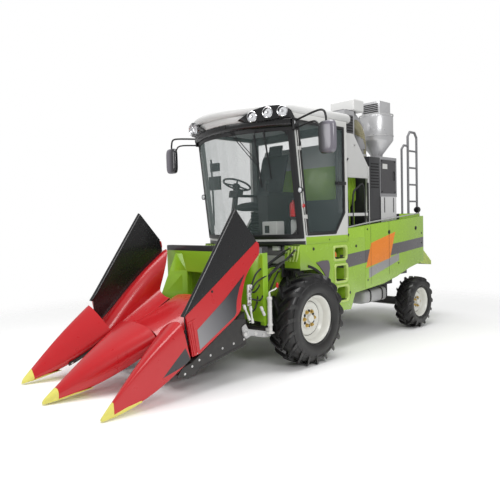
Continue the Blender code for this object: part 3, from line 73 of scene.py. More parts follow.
FLOOR_HALF = 60
floor_mesh = bpy.data.meshes.new("studio_floor")
floor_corners = [(a * FLOOR_HALF, b * FLOOR_HALF, 0) for a, b in ((-1, -1), (1, -1), (1, 1), (-1, 1))]
floor_mesh.from_pydata(floor_corners, [], [(0, 1, 2, 3)])
floor = bpy.data.objects.new("studio_floor", floor_mesh)
scene.collection.objects.link(floor)
floor_paint = bpy.data.materials.new("studio_floor")
floor_paint.use_nodes = True
floor_shader = floor_paint.node_tree.nodes["Principled BSDF"]
floor_shader.inputs["Base Color"].default_value = (1.0, 1.0, 1.0, 1.0)
floor_shader.inputs["Roughness"].default_value = 0.9
floor_shader.inputs["Specular IOR Level"].default_value = 0.2
# The floor fades out round the machine, so that it has no horizon.
FADE_START = 3.4
FADE_END = 7.0
centre_out = floor_paint.node_tree.nodes.new("ShaderNodeTexCoord")
distance = floor_paint.node_tree.nodes.new("ShaderNodeVectorMath")
distance.operation = "LENGTH"
fade = floor_paint.node_tree.nodes.new("ShaderNodeMapRange")
fade.interpolation_type = "SMOOTHSTEP"
fade.inputs["From Min"].default_value = FADE_START
fade.inputs["From Max"].default_value = FADE_END
fade.inputs["To Min"].default_value = 1.0
fade.inputs["To Max"].default_value = 0.0
floor_paint.node_tree.links.new(centre_out.outputs["Object"], distance.inputs[0])
floor_paint.node_tree.links.new(distance.outputs["Value"], fade.inputs["Value"])
floor_paint.node_tree.links.new(fade.outputs["Result"], floor_shader.inputs["Alpha"])
floor_mesh.materials.append(floor_paint)


def soft_light(name, place, aim, width, watts):
    """A square area light at place that faces aim."""
    lamp = bpy.data.lights.new(name, "AREA")
    lamp.size = width
    lamp.energy = watts
    holder = bpy.data.objects.new(name, lamp)
    holder.location = place
    holder.rotation_euler = (Vector(aim) - Vector(place)).to_track_quat("-Z", "Y").to_euler()
    scene.collection.objects.link(holder)


soft_light("overhead_light", (0.5, -0.5, 7.5), (0, 0, 1), 5.0, 420)
soft_light("key_light", (6.0, -3.0, 4.6), (0, -0.5, 1.2), 2.6, 150)
soft_light("front_light", (-3.0, -8.0, 3.8), (0, -1.5, 1.0), 3.0, 110)

camera_data = bpy.data.cameras.new("camera")
camera_data.lens = 39.1
camera_data.sensor_width = 36.0
camera = bpy.data.objects.new("camera", camera_data)
camera.matrix_world = Matrix((
    (0.7050, -0.0196, 0.7089, 4.877),
    (0.7092, 0.0569, -0.7027, -5.229),
    (-0.0266, 0.9982, 0.0540, 1.656),
    (0, 0, 0, 1)))
scene.collection.objects.link(camera)
scene.camera = camera

# ------------------------------------------------------------------ tyres
# Lugged tractor tyres, moulded in black rubber, with chevron bars whose
# points lead as the machine rolls forwards.  Each sits on its rim's beads.


class Shade:
    """A shader socket that Python's own signs work on; each sign adds a Math node."""

    def __init__(self, tree, socket=None):
        self.tree = tree
        self.socket = socket

    def make(self, kind, settings, inputs, out=0):
        """Add a node: first its settings, then its sockets' values or links."""
        node = self.tree.nodes.new("ShaderNode" + kind)
        for name, value in settings.items():
            if name == "stops":
                while len(node.color_ramp.elements) < len(value):
                    node.color_ramp.elements.new(1.0)
                for element, (position, colour) in zip(node.color_ramp.elements, value):
                    element.position = position
                    element.color = (*colour, 1.0)
            else:
                setattr(node, name, value)
        for name, value in inputs.items():
            if isinstance(value, Shade):
                self.tree.links.new(value.socket, node.inputs[name])
            else:
                node.inputs[name].default_value = value
        return Shade(self.tree, node.outputs[out])

    def sum(self, operation, first, second):
        return self.make("Math", {"operation": operation}, {0: first, 1: second})

    def __add__(self, other):
        return self.sum("ADD", self, other)

    __radd__ = __add__

    def __sub__(self, other):
        return self.sum("SUBTRACT", self, other)

    def __rsub__(self, other):
        return self.sum("SUBTRACT", other, self)

    def __mul__(self, other):
        return self.sum("MULTIPLY", self, other)

    __rmul__ = __mul__

    def __gt__(self, other):
        return self.sum("GREATER_THAN", self, other)

    def __lt__(self, other):
        return self.sum("LESS_THAN", self, other)


def blend(shade, mask, under, over):
    """A colour that goes from under to over as the mask goes from 0 to 1."""
    colours = [colour if isinstance(colour, Shade) else (*colour, 1.0) for colour in (under, over)]
    return shade.make("Mix", {"data_type": "RGBA"}, {0: mask, 6: colours[0], 7: colours[1]}, 2)


def noise(shade, place, size, detail=3.0):
    """Soft cloudy noise between 0 and 1 whose spots are about size across, in metres."""
    return shade.make("TexNoise", {}, {"Vector": place, "Scale": 1.0 / size, "Detail": detail})


def finish(name, colour, rough, metal=0.0, coat=0.0, mottle=0.12, mottle_size=0.35, grain=0.0,
           grain_size=0.004, dust=0.0, pattern=None):
    """A surface with slow colour drift, uneven gloss, fine grain and dust that settles low down."""
    paint = bpy.data.materials.new(name)
    paint.use_nodes = True
    tree = paint.node_tree
    shader = tree.nodes["Principled BSDF"]
    shade = Shade(tree)
    place = shade.make("TexCoord", {}, {}, "Object")
    parts = [shade.make("SeparateXYZ", {}, {0: place}, k) for k in range(3)]
    base = (*colour, 1.0)
    if pattern:
        base = pattern(shade, place, *parts)
    drift = noise(shade, place, mottle_size)
    darker = shade.make("Mix", {"data_type": "RGBA", "blend_type": "MULTIPLY"},
                        {0: drift * mottle, 6: base, 7: (0.45, 0.45, 0.45, 1.0)}, 2)
    if dust:
        low = (1.2 - parts[2]) * (dust / 1.2) * noise(shade, place, 0.060, 6.0)
        settled = shade.make("Clamp", {}, {"Value": low, "Min": 0.0, "Max": dust})
        darker = blend(shade, settled, darker, (0.42, 0.37, 0.30))
    tree.links.new(darker.socket, shader.inputs["Base Color"])
    uneven = noise(shade, place, mottle_size * 0.3, 5.0)
    tree.links.new((uneven * 0.16 + (rough - 0.08)).socket, shader.inputs["Roughness"])
    shader.inputs["Metallic"].default_value = metal
    shader.inputs["Coat Weight"].default_value = coat
    shader.inputs["Coat Roughness"].default_value = 0.06
    if grain:
        bumps = noise(shade, place, grain_size, 2.0)
        relief = shade.make("Bump", {}, {"Height": bumps, "Strength": grain, "Distance": grain_size * 0.3})
        tree.links.new(relief.socket, shader.inputs["Normal"])
    return paint


def loft(rings, closed=False):
    """Skin equal rings of points; the ends are capped unless it closes on itself."""
    bm = bmesh.new()
    rows = [[bm.verts.new(point) for point in ring] for ring in rings]
    pairs = list(zip(rows, rows[1:]))
    if closed:
        pairs.append((rows[-1], rows[0]))
    count = len(rows[0])
    for first, second in pairs:
        for k in range(count):
            following = (k + 1) % count
            bm.faces.new((first[k], first[following], second[following], second[k]))
    if not closed:
        bm.faces.new(rows[0])
        bm.faces.new(rows[-1])
    bmesh.ops.recalc_face_normals(bm, faces=bm.faces)
    return bm


def turned(profile, centre, axis=(1, 0, 0), sides=32):
    """Turn a profile of (radius, along) points round an axis through centre."""
    forward = Vector(axis).normalized()
    across = forward.orthogonal().normalized()
    up = forward.cross(across)
    bm = bmesh.new()
    rings = []
    for radius, along in profile:
        ring = []
        for k in range(sides if radius > 0 else 1):
            angle = 2 * math.pi * (k + 0.5) / sides
            offset = (across * math.cos(angle) + up * math.sin(angle)) * radius
            ring.append(bm.verts.new(Vector(centre) + offset + forward * along))
        rings.append(ring)
    pairs = list(zip(rings, rings[1:]))
    if profile[0][0] > 0:
        pairs.append((rings[-1], rings[0]))
    for first, second in pairs:
        for k in range(sides):
            following = (k + 1) % sides
            if len(first) == 1:
                bm.faces.new((first[0], second[following], second[k]))
            elif len(second) == 1:
                bm.faces.new((first[k], first[following], second[0]))
            else:
                bm.faces.new((first[k], first[following], second[following], second[k]))
    bmesh.ops.recalc_face_normals(bm, faces=bm.faces)
    return bm


def gather(*shapes):
    """Put several shapes into one mesh."""
    whole = bmesh.new()
    for shape in shapes:
        carried = bpy.data.meshes.new("carried")
        shape.to_mesh(carried)
        shape.free()
        whole.from_mesh(carried)
        bpy.data.meshes.remove(carried)
    return whole


def smooth_line(points, steps):
    """Points of a smooth curve through the given ones, with steps in each stretch."""
    points = [Vector(point) for point in points]
    ends = [points[0] * 2 - points[1]] + points + [points[-1] * 2 - points[-2]]
    line = []
    for before, start, end, after in zip(ends, ends[1:], ends[2:], ends[3:]):
        for k in range(steps):
            t = k / steps
            line.append(((start * 2) + (end - before) * t + (before * 2 - start * 5 + end * 4 - after) * t * t
                         + (start * 3 - before - end * 3 + after) * t ** 3) / 2)
    return line + [points[-1]]


def put(name, shape, paint, body, slot, bevel=0.0, replaces=(), sharp=35, bevel_steps=2):
    """Make one named piece from a shape and let it ride on its body."""
    mesh = bpy.data.meshes.new(name)
    shape.to_mesh(mesh)
    shape.free()
    mesh.materials.append(paint)
    mesh.shade_smooth()
    mesh.set_sharp_from_angle(angle=math.radians(sharp))
    made = bpy.data.objects.new(name, mesh)
    scene.collection.objects.link(made)
    if bevel:
        edge = made.modifiers.new("rounded_edges", "BEVEL")
        edge.width = bevel
        edge.segments = bevel_steps
        edge.limit_method = "ANGLE"
        edge.angle_limit = math.radians(sharp)
        edge.harden_normals = True
    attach(made, body)
    if replaces:
        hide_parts(*replaces)
    return made


SIDES = (("left", 1), ("right", -1))
rubber = finish("tyre_rubber", (0.007, 0.007, 0.008), 0.33, mottle=0.3, grain=0.25, grain_size=0.006, dust=0.05)


def tyre_profile(radius, width, seat):
    """Outline of a tyre's body from its middle out to one bead, as (radius, along)."""
    middle = (radius + seat) / 2
    corners = [(radius, 0), (radius - 0.003, 0.22 * width), (radius - 0.012, 0.37 * width),
               (radius - 0.038, 0.455 * width), (middle + 0.030, 0.492 * width), (middle - 0.020, 0.494 * width),
               (seat + 0.045, 0.455 * width), (seat + 0.026, 0.395 * width), (seat + 0.016, 0.360 * width)]
    return [(place.x, place.y) for place in smooth_line([(a, b, 0) for a, b in corners], 3)]


def tyre(side, end, seat, lug_count, lug_height, lug_skew):
    """One tyre: a turned body, raised rings on its walls and two rows of bars."""
    node = f"{end}_{side}_tyre"
    low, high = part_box(node)
    centre = (low + high) / 2
    radius = centre.z
    width = high.x - low.x
    body_radius = radius - lug_height
    half = tyre_profile(body_radius, width, seat)
    outline = [(r, -a) for r, a in reversed(half)] + half[1:]
    shapes = [turned(outline, centre, sides=96)]
    for wall in (-1, 1):
        for ring_radius, share in ((seat + 0.034, 0.452), (body_radius - 0.062, 0.492)):
            ring = [(ring_radius + 0.005 * math.cos(a), wall * share * width + 0.004 * math.sin(a))
                    for a in (k * math.pi / 3 for k in range(6))]
            shapes.append(turned(ring, centre, sides=96))
    bar = ((0.0, -0.020, 0.0, 0.020), (0.30, 0.130, 0.0, 0.020), (0.60, 0.270, 0.001, 0.025),
           (0.85, 0.400, 0.005, 0.035), (0.97, 0.460, 0.014, 0.055), (1.07, 0.492, 0.050, 0.085),
           (1.10, 0.496, 0.085, 0.110))
    for row in (-1, 1):
        for k in range(lug_count):
            start = 2 * math.pi * (k + 0.25 * row) / lug_count
            rings = []
            for share, across, drop, sink in bar:
                turn = start + lug_skew * share
                ring = []
                for spread, depth in ((-0.026, sink + lug_height), (-0.016, drop), (0.016, drop),
                                      (0.026, sink + lug_height)):
                    angle = turn + spread / radius
                    reach = radius - depth
                    ring.append((centre.x + row * across * width, centre.y - reach * math.cos(angle),
                                 centre.z + reach * math.sin(angle)))
                rings.append(ring)
            shapes.append(loft(rings))
    put(f"{node}_rubber", gather(*shapes), rubber, f"{end}_{side}_wheel", "tyre", replaces=[node])


WHEELS = {
    "front": {"seat": 0.254, "lug_count": 19, "lug_height": 0.032, "lug_skew": 0.36},
    "rear": {"seat": 0.195, "lug_count": 16, "lug_height": 0.025, "lug_skew": 0.36},
}
for side, sign in SIDES:
    for end, sizes in WHEELS.items():
        tyre(side, end, **sizes)

# ------------------------------------------------------------------ rims
# Deep dished rims pressed from steel and sprayed cream, with plated wheel
# nuts round a small hub, dark discs of painted shade for the pierced openings
# between them, and a dark seam round the disc.
cream = finish("cream_rim_paint", (0.74, 0.74, 0.69), 0.34, coat=0.3, mottle=0.10, dust=0.16)
plated = finish("yellow_plated_nuts", (0.62, 0.43, 0.13), 0.32, metal=0.75, mottle=0.3, mottle_size=0.02)
# Near-black that paints the shade in rim, grille, vent, screen and louvre openings, and colours dark seams.
shadow = finish("painted_shade_and_dark_seams", (0.010, 0.010, 0.011), 0.75, grain=0.2)


def rim(side, sign, end, width, seat, disc, hub, nuts, nut_ring, nut_size):
    """One rim with its nuts, dark discs of painted shade and its seam; disc is how far its plate lies outboard."""
    node = f"{end}_{side}_rim"
    low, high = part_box(node)
    centre = (low + high) / 2
    bead = 0.36 * width
    lip = seat + 0.020
    bore = seat - 0.010
    edge = bead + 0.016
    outline = [
        (0, disc - 0.012), (seat * 0.60, disc - 0.012), (seat * 0.78, disc - 0.030), (bore - 0.006, disc - 0.030),
        (bore - 0.004, -bead * 0.7), (bore, -bead), (lip - 0.012, -edge), (lip - 0.003, -edge), (lip, -edge + 0.006),
        (lip - 0.003, -bead), (seat, -bead + 0.006), (seat - 0.004, 0), (seat, bead - 0.006), (lip - 0.003, bead),
        (lip, edge - 0.006), (lip - 0.003, edge), (lip - 0.011, edge - 0.001), (seat - 0.002, edge - 0.012),
        (bore - 0.004, bead * 0.72), (bore - 0.012, bead * 0.45), (seat * 0.84, disc + 0.016),
        (seat * 0.80, disc + 0.004), (seat * 0.775, disc - 0.006), (seat * 0.76, disc + 0.001),
        (seat * 0.73, disc + 0.008), (seat * 0.60, disc + 0.011), (seat * 0.50, disc + 0.004),
        (nut_ring + nut_size * 2.0, disc), (nut_ring + nut_size * 1.6, disc + 0.012),
        (nut_ring - nut_size * 1.3, disc + 0.012), (hub * 1.04, disc + 0.018), (hub, disc + 0.046),
        (hub * 0.9, disc + 0.052), (0, disc + 0.052)]
    put(f"{node}_pressing", turned([(r, sign * a) for r, a in outline], centre, sides=96), cream,
        f"{end}_{side}_wheel", "rim_paint", replaces=[node], sharp=28)
    # Dark discs between the nuts are painted shade for the openings; the thin ring is the dark seam round the disc.
    studs, painted_shade_and_seam = [], []
    face = disc + 0.012
    for k in range(nuts):
        for shapes, turn, radius, rise, sides in (
                (studs, 0.0, nut_size, 0.024, 6), (studs, 0.0, nut_size * 1.35, 0.005, 20),
                (studs, 0.0, nut_size * 0.5, 0.032, 12), (painted_shade_and_seam, 0.5, nut_size * 1.15, 0.0012, 20)):
            angle = 2 * math.pi * (k + turn) / nuts
            spot = centre + Vector((0, nut_ring * math.cos(angle), nut_ring * math.sin(angle)))
            shapes.append(turned([(0, sign * (face - 0.004)), (radius, sign * (face - 0.004)),
                                  (radius, sign * (face + rise - 0.002)), (radius * 0.85, sign * (face + rise)),
                                  (0, sign * (face + rise))], spot, sides=sides))
    seam = seat * 0.775
    painted_shade_and_seam.append(turned([(seam - 0.005, sign * (disc - 0.008)), (seam - 0.005, sign * (disc - 0.001)),
                         (seam + 0.005, sign * (disc - 0.001)), (seam + 0.005, sign * (disc - 0.008))],
                        centre, sides=96))
    put(f"{node}_nuts", gather(*studs), plated, f"{end}_{side}_wheel", "zinc", sharp=30)
    put(f"{node}_holes", gather(*painted_shade_and_seam), shadow, f"{end}_{side}_wheel", "black_plastic")


RIMS = {
    "front": {"width": 0.335, "seat": 0.254, "disc": 0.020, "hub": 0.046, "nuts": 6, "nut_ring": 0.086,
              "nut_size": 0.018},
    "rear": {"width": 0.264, "seat": 0.195, "disc": 0.030, "hub": 0.038, "nuts": 5, "nut_ring": 0.066,
             "nut_size": 0.014},
}
for side, sign in SIDES:
    for end, sizes in RIMS.items():
        rim(side, sign, end, **sizes)

# ------------------------------------------------------------------ noses
# Three snouts of glossy red plastic that part the rows, each a thin shell
# open behind and hinged at its rear, with a yellow wear tip and shoe.
AXLE_Y = (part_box("front_left_rim")[0].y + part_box("front_left_rim")[1].y) / 2


def red_pattern(shade, place, x, y, z):
    """Red that fades a little where sun and straw have dulled it."""
    dulled = noise(shade, place, 0.50, 4.0)
    return blend(shade, dulled * 0.5, (0.49, 0.004, 0.009), (0.56, 0.012, 0.016))


red = finish("red_moulded_plastic", (0.45, 0.005, 0.01), 0.30, coat=0.30, mottle=0.10, pattern=red_pattern,
             grain=0.05, grain_size=0.003)
yellow = finish("yellow_wear_plastic", (0.82, 0.76, 0.16), 0.45, mottle=0.45, mottle_size=0.05, grain=0.25,
                grain_size=0.003)
steel_black = finish("black_sprayed_steel", (0.010, 0.010, 0.011), 0.42, mottle=0.3, grain=0.15, dust=0.10)
bright_steel = finish("bright_zinc", (0.62, 0.62, 0.61), 0.30, metal=0.85, mottle=0.25, mottle_size=0.03)

OUTER_SECTION = ((0.0, 0.03), (-0.01, 0.30), (-0.01, 0.60), (0.0, 0.84), (0.03, 0.95), (0.12, 1.0), (0.34, 0.945),
                 (0.62, 0.78), (0.86, 0.56), (1.0, 0.38), (0.97, 0.26), (0.80, 0.12), (0.45, 0.0), (0.12, -0.01))
MIDDLE_SECTION = ((0.12, 0.04), (0.02, 0.26), (0.0, 0.52), (0.05, 0.74), (0.20, 0.93), (0.5, 1.0), (0.80, 0.93),
                  (0.95, 0.74), (1.0, 0.52), (0.98, 0.26), (0.88, 0.04), (0.5, -0.02))
NOSE_FOOT = (-1.680, 0.360)
NOSE_TIP_Z = 0.030
NOSE_WALL = 0.010


def rounded_section(section, steps=4):
    """A closed section with smooth stretches between its corners."""
    wrapped = list(section[-2:]) + list(section) + list(section[:2])
    line = smooth_line([(u, v, 0) for u, v in wrapped], steps)
    return [(point.x, point.y) for point in line[2 * steps:(2 + len(section)) * steps]]


def nose_point(nose, share, u, v, grow=0.0):
    """A place on a nose: share runs from tip to rear, u across it and v up it."""
    top = Vector((0, *nose["top"]))
    foot = Vector((0, *NOSE_FOOT))
    tip = Vector((0, -nose["reach"], NOSE_TIP_Z))
    swell = math.sin(math.pi * min(max(share, 0.0), 1.0))
    high = (tip + Vector((0, 0.010, 0.020))).lerp(top, share) + Vector((0, 0, 0.030 * swell))
    low = (tip - Vector((0, 0, 0.018))).lerp(foot, share) - Vector((0, 0, 0.070 * swell))
    near = nose["outer"][0] + share * (nose["outer"][1] - nose["outer"][0])
    far = nose["inner"][0] + share * (nose["inner"][1] - nose["inner"][0])
    u = 0.5 + (u - 0.5) * (1 + 2 * grow / abs(near - far))
    v = 0.5 + (v - 0.5) * (1 + 2 * grow / (high - low).length)
    place = low.lerp(high, v)
    back_set = nose["skew"] * share * (1 - u) * v
    return (nose["sign"] * (near + u * (far - near)), place.y + back_set + AXLE_Y, max(place.z, 0.003))


def nose_rings(nose, shares, grow=0.0):
    """Rings of a nose's skin, one for each share of its length."""
    return [[nose_point(nose, share, u, v, grow) for u, v in nose["section"]] for share in shares]


outer_nose = {"section": rounded_section(OUTER_SECTION), "reach": 2.590, "top": (-1.850, 0.735), "skew": 0.075,
              "outer": (0.825, 0.885), "inner": (0.795, 0.441)}
middle_nose = {"section": rounded_section(MIDDLE_SECTION), "reach": 2.730, "top": (-1.730, 0.630), "skew": 0.0,
               "outer": (0.015, 0.369), "inner": (-0.015, -0.369), "sign": 1}
NOSES = (("left_nose", {**outer_nose, "sign": 1}), ("middle_nose", middle_nose),
         ("right_nose", {**outer_nose, "sign": -1}))
NOSE_SLICES = 22
CAP_END = 0.125
SHOE_END = 0.44


def triangle_pattern(shade, place, x, y, z):
    """Nose red with a dark three-cornered field low on its outer side, near the rear edge."""
    ground = red_pattern(shade, place, x, y, z)
    below = z < (0.489 + AXLE_Y * -0.936 + 1.740 * 0.936) + y * 0.936
    above = z > (0.255 + (1.990 - AXLE_Y) * 0.282) + y * 0.282
    behind = z < (0.489 - (1.740 - AXLE_Y) * 2.087) - y * 2.087
    side = x * x > 0.800 * 0.800
    return blend(shade, below * above * behind * side, ground, (0.022, 0.022, 0.025))


red_with_triangle = finish("red_plastic_with_triangle", (0.45, 0.005, 0.01), 0.30, coat=0.30, mottle=0.10,
                           pattern=triangle_pattern, grain=0.05, grain_size=0.003)
for name, nose in NOSES:
    slices = [CAP_END * 0.5 + (1 - CAP_END * 0.5) * k / NOSE_SLICES for k in range(NOSE_SLICES + 1)]
    inside = [share for share in slices if share > 0.30][::-1]
    skin = nose_rings(nose, slices) + nose_rings(nose, inside, -NOSE_WALL)
    put(f"{name}_shell", loft(skin), red if name == "middle_nose" else red_with_triangle, name,
        "red_plastic", replaces=[name], sharp=50)
    cap = nose_rings(nose, [0.0, 0.004], 0.0) + nose_rings(nose, [0.02, 0.05, 0.09, CAP_END], 0.003)
    shoe_shares = [CAP_END - 0.02 + (SHOE_END - CAP_END) * k / 10 for k in range(11)]
    strip = [(u, v) for u, v in nose["section"] if v < 0.17]
    strip.sort()
    shoe = []
    for share in shoe_shares:
        taper = 1 - 0.75 * max(share - 0.25, 0) / (SHOE_END - 0.25)
        kept = [(0.5 + (u - 0.5) * 0.98, v * taper) for u, v in strip]
        shoe.append([nose_point(nose, share, u, v, 0.005) for u, v in kept]
                    + [nose_point(nose, share, u, v, 0.001) for u, v in kept[::-1]])
    put(f"{name}_tip", gather(loft(cap), loft(shoe)), yellow, name, "yellow_plastic", sharp=50)

# ------------------------------------------------------------------ side shrouds
# The red outer panels of the header, moulded plates with a raised roll that
# climbs from each nose, a ribbed upright strip and a blank graded panel.


def at_axle(y, z):
    """A (y, z) place laid out from the front axle, in the machine's own frame."""
    return (y + AXLE_Y, z)


def plate(outline, low, high):
    """A flat plate across x between two places; its outline is laid out from the axle."""
    low, high = sorted((low, high))
    corners = [at_axle(y, z) for y, z in outline]
    return loft([[(x, y, z) for y, z in corners] for x in (low, high)])


def curve_2d(points, steps=6):
    """A smooth line through flat points."""
    return [(point.x, point.y) for point in smooth_line([(a, b, 0) for a, b in points], steps)]


HEADER_HALF = 0.885
SHROUD_INNER = 0.855
SLOT_EDGE = 0.435
RIDGE_X = 0.800
HOOD_FRONT_Y = -1.640
panel_rear = curve_2d([(-1.090, 0.668), (-1.010, 0.745), (-0.985, 0.885), (-0.905, 1.105), (-0.720, 1.300)])
SHROUD_OUTLINE = ([(-1.718, 0.786), (-1.655, 0.385), (-1.560, 0.400)] + panel_rear
                  + [(-0.712, 1.360), (-0.722, 1.418), (-0.756, 1.439)])


def slot_z(y):
    """Height of a hood's edge along its row."""
    return 0.540 + (y + 1.320) * 0.538


def ridge_z(y):
    """Height of the roll beside the fin: it climbs steeply at first."""
    share = (y - HOOD_FRONT_Y) / 0.940
    return 0.500 + 0.820 * share * (1.24 - 0.24 * share)


def graded_pattern(shade, place, x, y, z):
    """Silver that darkens towards the panel's upper rear corner."""
    rise = (y - (AXLE_Y - 1.560)) * 1.15 + (z - 0.430) * 0.55
    share = shade.make("Clamp", {}, {"Value": rise, "Min": 0.0, "Max": 1.0})
    return shade.make("ValToRGB", {"stops": ((0.0, (0.30, 0.30, 0.31)), (0.40, (0.15, 0.15, 0.16)),
                                             (0.75, (0.035, 0.035, 0.040)), (1.0, (0.020, 0.020, 0.022)))},
                      {"Fac": share})


silver_panel = finish("graded_silver_film", (0.4, 0.4, 0.4), 0.38, metal=0.2, pattern=graded_pattern, mottle=0.15)
PANEL_OUTLINE = ([(-1.563, 0.438), (-1.100, 0.695)] + curve_2d([(-1.075, 0.730), (-1.065, 0.850), (-1.020, 0.985)], 4)
                 + [(-0.944, 1.112), (-1.225, 0.885), (-1.590, 0.632)])
ROLL_SECTION = ((0.0, 0.0), (0.30, 0.03), (0.55, 0.09), (0.655, 0.15), (0.68, 0.22), (0.70, 0.44), (0.76, 0.72),
                (0.86, 0.93), (0.98, 1.0), (1.15, 0.97))
for side, sign in SIDES:
    panel = plate(SHROUD_OUTLINE, sign * SHROUD_INNER, sign * (HEADER_HALF - 0.001))
    put(f"{side}_shroud_panel", panel, red, "header", "red_plastic", bevel=0.007, replaces=[f"{side}_shroud"],
        sharp=30, bevel_steps=3)
    strip = [(-1.700, 0.715), (-1.640, 0.392), (-1.578, 0.402), (-1.612, 0.742)]
    ribs = [plate(strip, sign * (HEADER_HALF - 0.004), sign * (HEADER_HALF + 0.008))]
    for share in (0.30, 0.62):
        front_top, front_low, rear_low, rear_top = [Vector((a, b, 0)) for a, b in strip]
        top, low = front_top.lerp(rear_top, share), front_low.lerp(rear_low, share)
        rib = [(top.x - 0.006, top.y - 0.02), (low.x - 0.006, low.y + 0.02), (low.x + 0.006, low.y + 0.02),
               (top.x + 0.006, top.y - 0.02)]
        ribs.append(plate(rib, sign * (HEADER_HALF + 0.004), sign * (HEADER_HALF + 0.014)))
    put(f"{side}_shroud_strip", gather(*ribs), red, "header", "red_plastic", bevel=0.003, sharp=30)
    put(f"{side}_shroud_film", plate(PANEL_OUTLINE, sign * (HEADER_HALF - 0.002), sign * (HEADER_HALF + 0.0012)),
        silver_panel, "header", "grey_paint")
    section = curve_2d(ROLL_SECTION, 4)
    rings = []
    stations = [(HOOD_FRONT_Y + (-0.980 - HOOD_FRONT_Y) * k / 8,) * 2 for k in range(9)] + [(-0.930, -0.700)]
    for front_y, rear_y in stations:
        low, ridge = slot_z(front_y), ridge_z(rear_y)
        rise = ridge - low
        reach = (rear_y - front_y) / rise
        skin = []
        for u, v in section:
            x = min(SLOT_EDGE + u * (RIDGE_X - SLOT_EDGE), SHROUD_INNER + 0.002)
            skin.append((x, low + v * rise))
        ring = skin + [(x, z - 0.032) for x, z in reversed(skin)]
        rings.append([(sign * x, front_y + max(z - low, 0) * reach + AXLE_Y, z) for x, z in ring])
    put(f"{side}_hood_roll", loft(rings), red, "header", "red_plastic", sharp=40)

# ------------------------------------------------------------------ middle hood
# One arched red cover between the two rows, moulded like the noses.
rings = []
ARCH = [(-1 + 2 * k / 20, math.sqrt(max(1 - abs(-1 + 2 * k / 20) ** 2.4, 0))) for k in range(21)]
for k in range(15):
    y = HOOD_FRONT_Y + (-0.925 - HOOD_FRONT_Y) * k / 14
    low = slot_z(y)
    top = 0.575 + (y - HOOD_FRONT_Y) * 0.350
    skin = [(share * 0.375, low + rise * (top - low)) for share, rise in ARCH]
    ring = skin + [(x * 0.97, max(z - 0.030, low - 0.030)) for x, z in reversed(skin)]
    rings.append([(x, y + AXLE_Y, z) for x, z in ring])
put("middle_hood_cover", loft(rings), red, "header", "red_plastic", replaces=["middle_hood"], sharp=40)

# ------------------------------------------------------------------ fins
# Tall black crop guides, hollow mouldings with a full round leading edge and
# a flat rear, bolted to the shrouds with button heads.
glossy_black = finish("glossy_black_plastic", (0.007, 0.007, 0.008), 0.27, coat=0.20, mottle=0.2, grain=0.03,
                      grain_size=0.003)
FIN_FOOT = Vector((0, *at_axle(-1.780, 0.745)))
FIN_TOP = Vector((0, *at_axle(-1.052, 1.785)))
FIN_REAR = Vector((0, *at_axle(-0.755, 1.440)))
FIN_THICK = 0.050
for side, sign in SIDES:
    rings = []
    for k in range(17):
        t = 0.04 + 0.96 * k / 16
        front = FIN_FOOT.lerp(FIN_TOP, t)
        rear = FIN_FOOT.lerp(FIN_REAR, t)
        along = (rear - front).normalized()
        half = FIN_THICK / 2
        nose_depth = min(half * 1.25, (rear - front).length * 0.45)
        ring = []
        for n in range(11):
            angle = math.pi * n / 10 - math.pi / 2
            ring.append(front + along * nose_depth * (1 - math.cos(angle)) + Vector((half * math.sin(angle), 0, 0)))
        ring += [rear + Vector((half, 0, 0)), rear - Vector((half, 0, 0))]
        rings.append([point + Vector((sign * (HEADER_HALF - half), 0, 0)) for point in ring])
    skirt = plate([(-1.700, 0.480), (-0.720, 1.300), (-0.757, 1.436), (-1.718, 0.787)],
                  sign * (SHROUD_INNER - 0.010), sign * (SHROUD_INNER - 0.0005))
    put(f"{side}_fin_moulding", gather(loft(rings), skirt), glossy_black, "header", "black_plastic",
        replaces=[f"{side}_fin"], bevel=0.004, sharp=45)


def button(spot, radius, rise, axis=(1, 0, 0), sides=14):
    """A low domed bolt head on a washer."""
    dome = [(0, -0.004), (radius * 1.5, -0.004), (radius * 1.5, rise * 0.25), (radius, rise * 0.25),
            (radius * 0.95, rise * 0.7), (radius * 0.6, rise), (0, rise)]
    return turned(dome, spot, axis, sides)


PLATE_BOLTS = ((-0.955, 0.430), (-1.103, 0.412), (-1.256, 0.392), (-1.415, 0.352), (-1.557, 0.334),
               (-1.646, 0.291), (-1.735, 0.236))
for side, sign in SIDES:
    dark_heads = [button((sign * HEADER_HALF, *at_axle(y, z)), 0.009, 0.006, (sign, 0, 0))
                  for y, z in ((-1.156, 1.311), (-1.390, 0.977), (-0.960, 1.410))]
    put(f"{side}_fin_bolts", gather(*dark_heads), steel_black, "header", "black_steel")
    light_heads = [button((sign * (SHROUD_INNER + 0.006), *at_axle(y, z)), 0.008, 0.007, (sign, 0, 0))
                   for y, z in PLATE_BOLTS]
    light_heads.append(button((sign * (HEADER_HALF + 0.006), *at_axle(-1.602, 0.415)), 0.007, 0.005, (sign, 0, 0)))
    put(f"{side}_plate_bolts", gather(*light_heads), bright_steel, "header", "zinc")

# ------------------------------------------------------------------ header steel
# Welded black frame under the hoods with a lime sheet back and funnel, black
# side plates and skids below the shrouds, and dark strips along the rows.


def header_pattern(shade, place, x, y, z):
    """Lime sheet with a black beam along its top and another along its foot."""
    beam = (z > 1.305) + (z < 0.520)
    return blend(shade, beam, (0.27, 0.50, 0.020), (0.020, 0.020, 0.022))


def dress(node, paint, bevel=0.0, sharp=30, steps=2):
    """Give a carried-over solid its finish and, where it has any, rounded edges."""
    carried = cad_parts[node]
    carried.data.materials.clear()
    carried.data.materials.append(paint)
    if bevel:
        weld = carried.modifiers.new("weld", "WELD")
        weld.merge_threshold = 0.00005
        edge = carried.modifiers.new("rounded_edges", "BEVEL")
        edge.width = bevel
        edge.segments = steps
        edge.limit_method = "ANGLE"
        edge.angle_limit = math.radians(sharp)
        edge.harden_normals = True
        carried.data.shade_smooth()
        carried.data.set_sharp_from_angle(angle=math.radians(sharp))


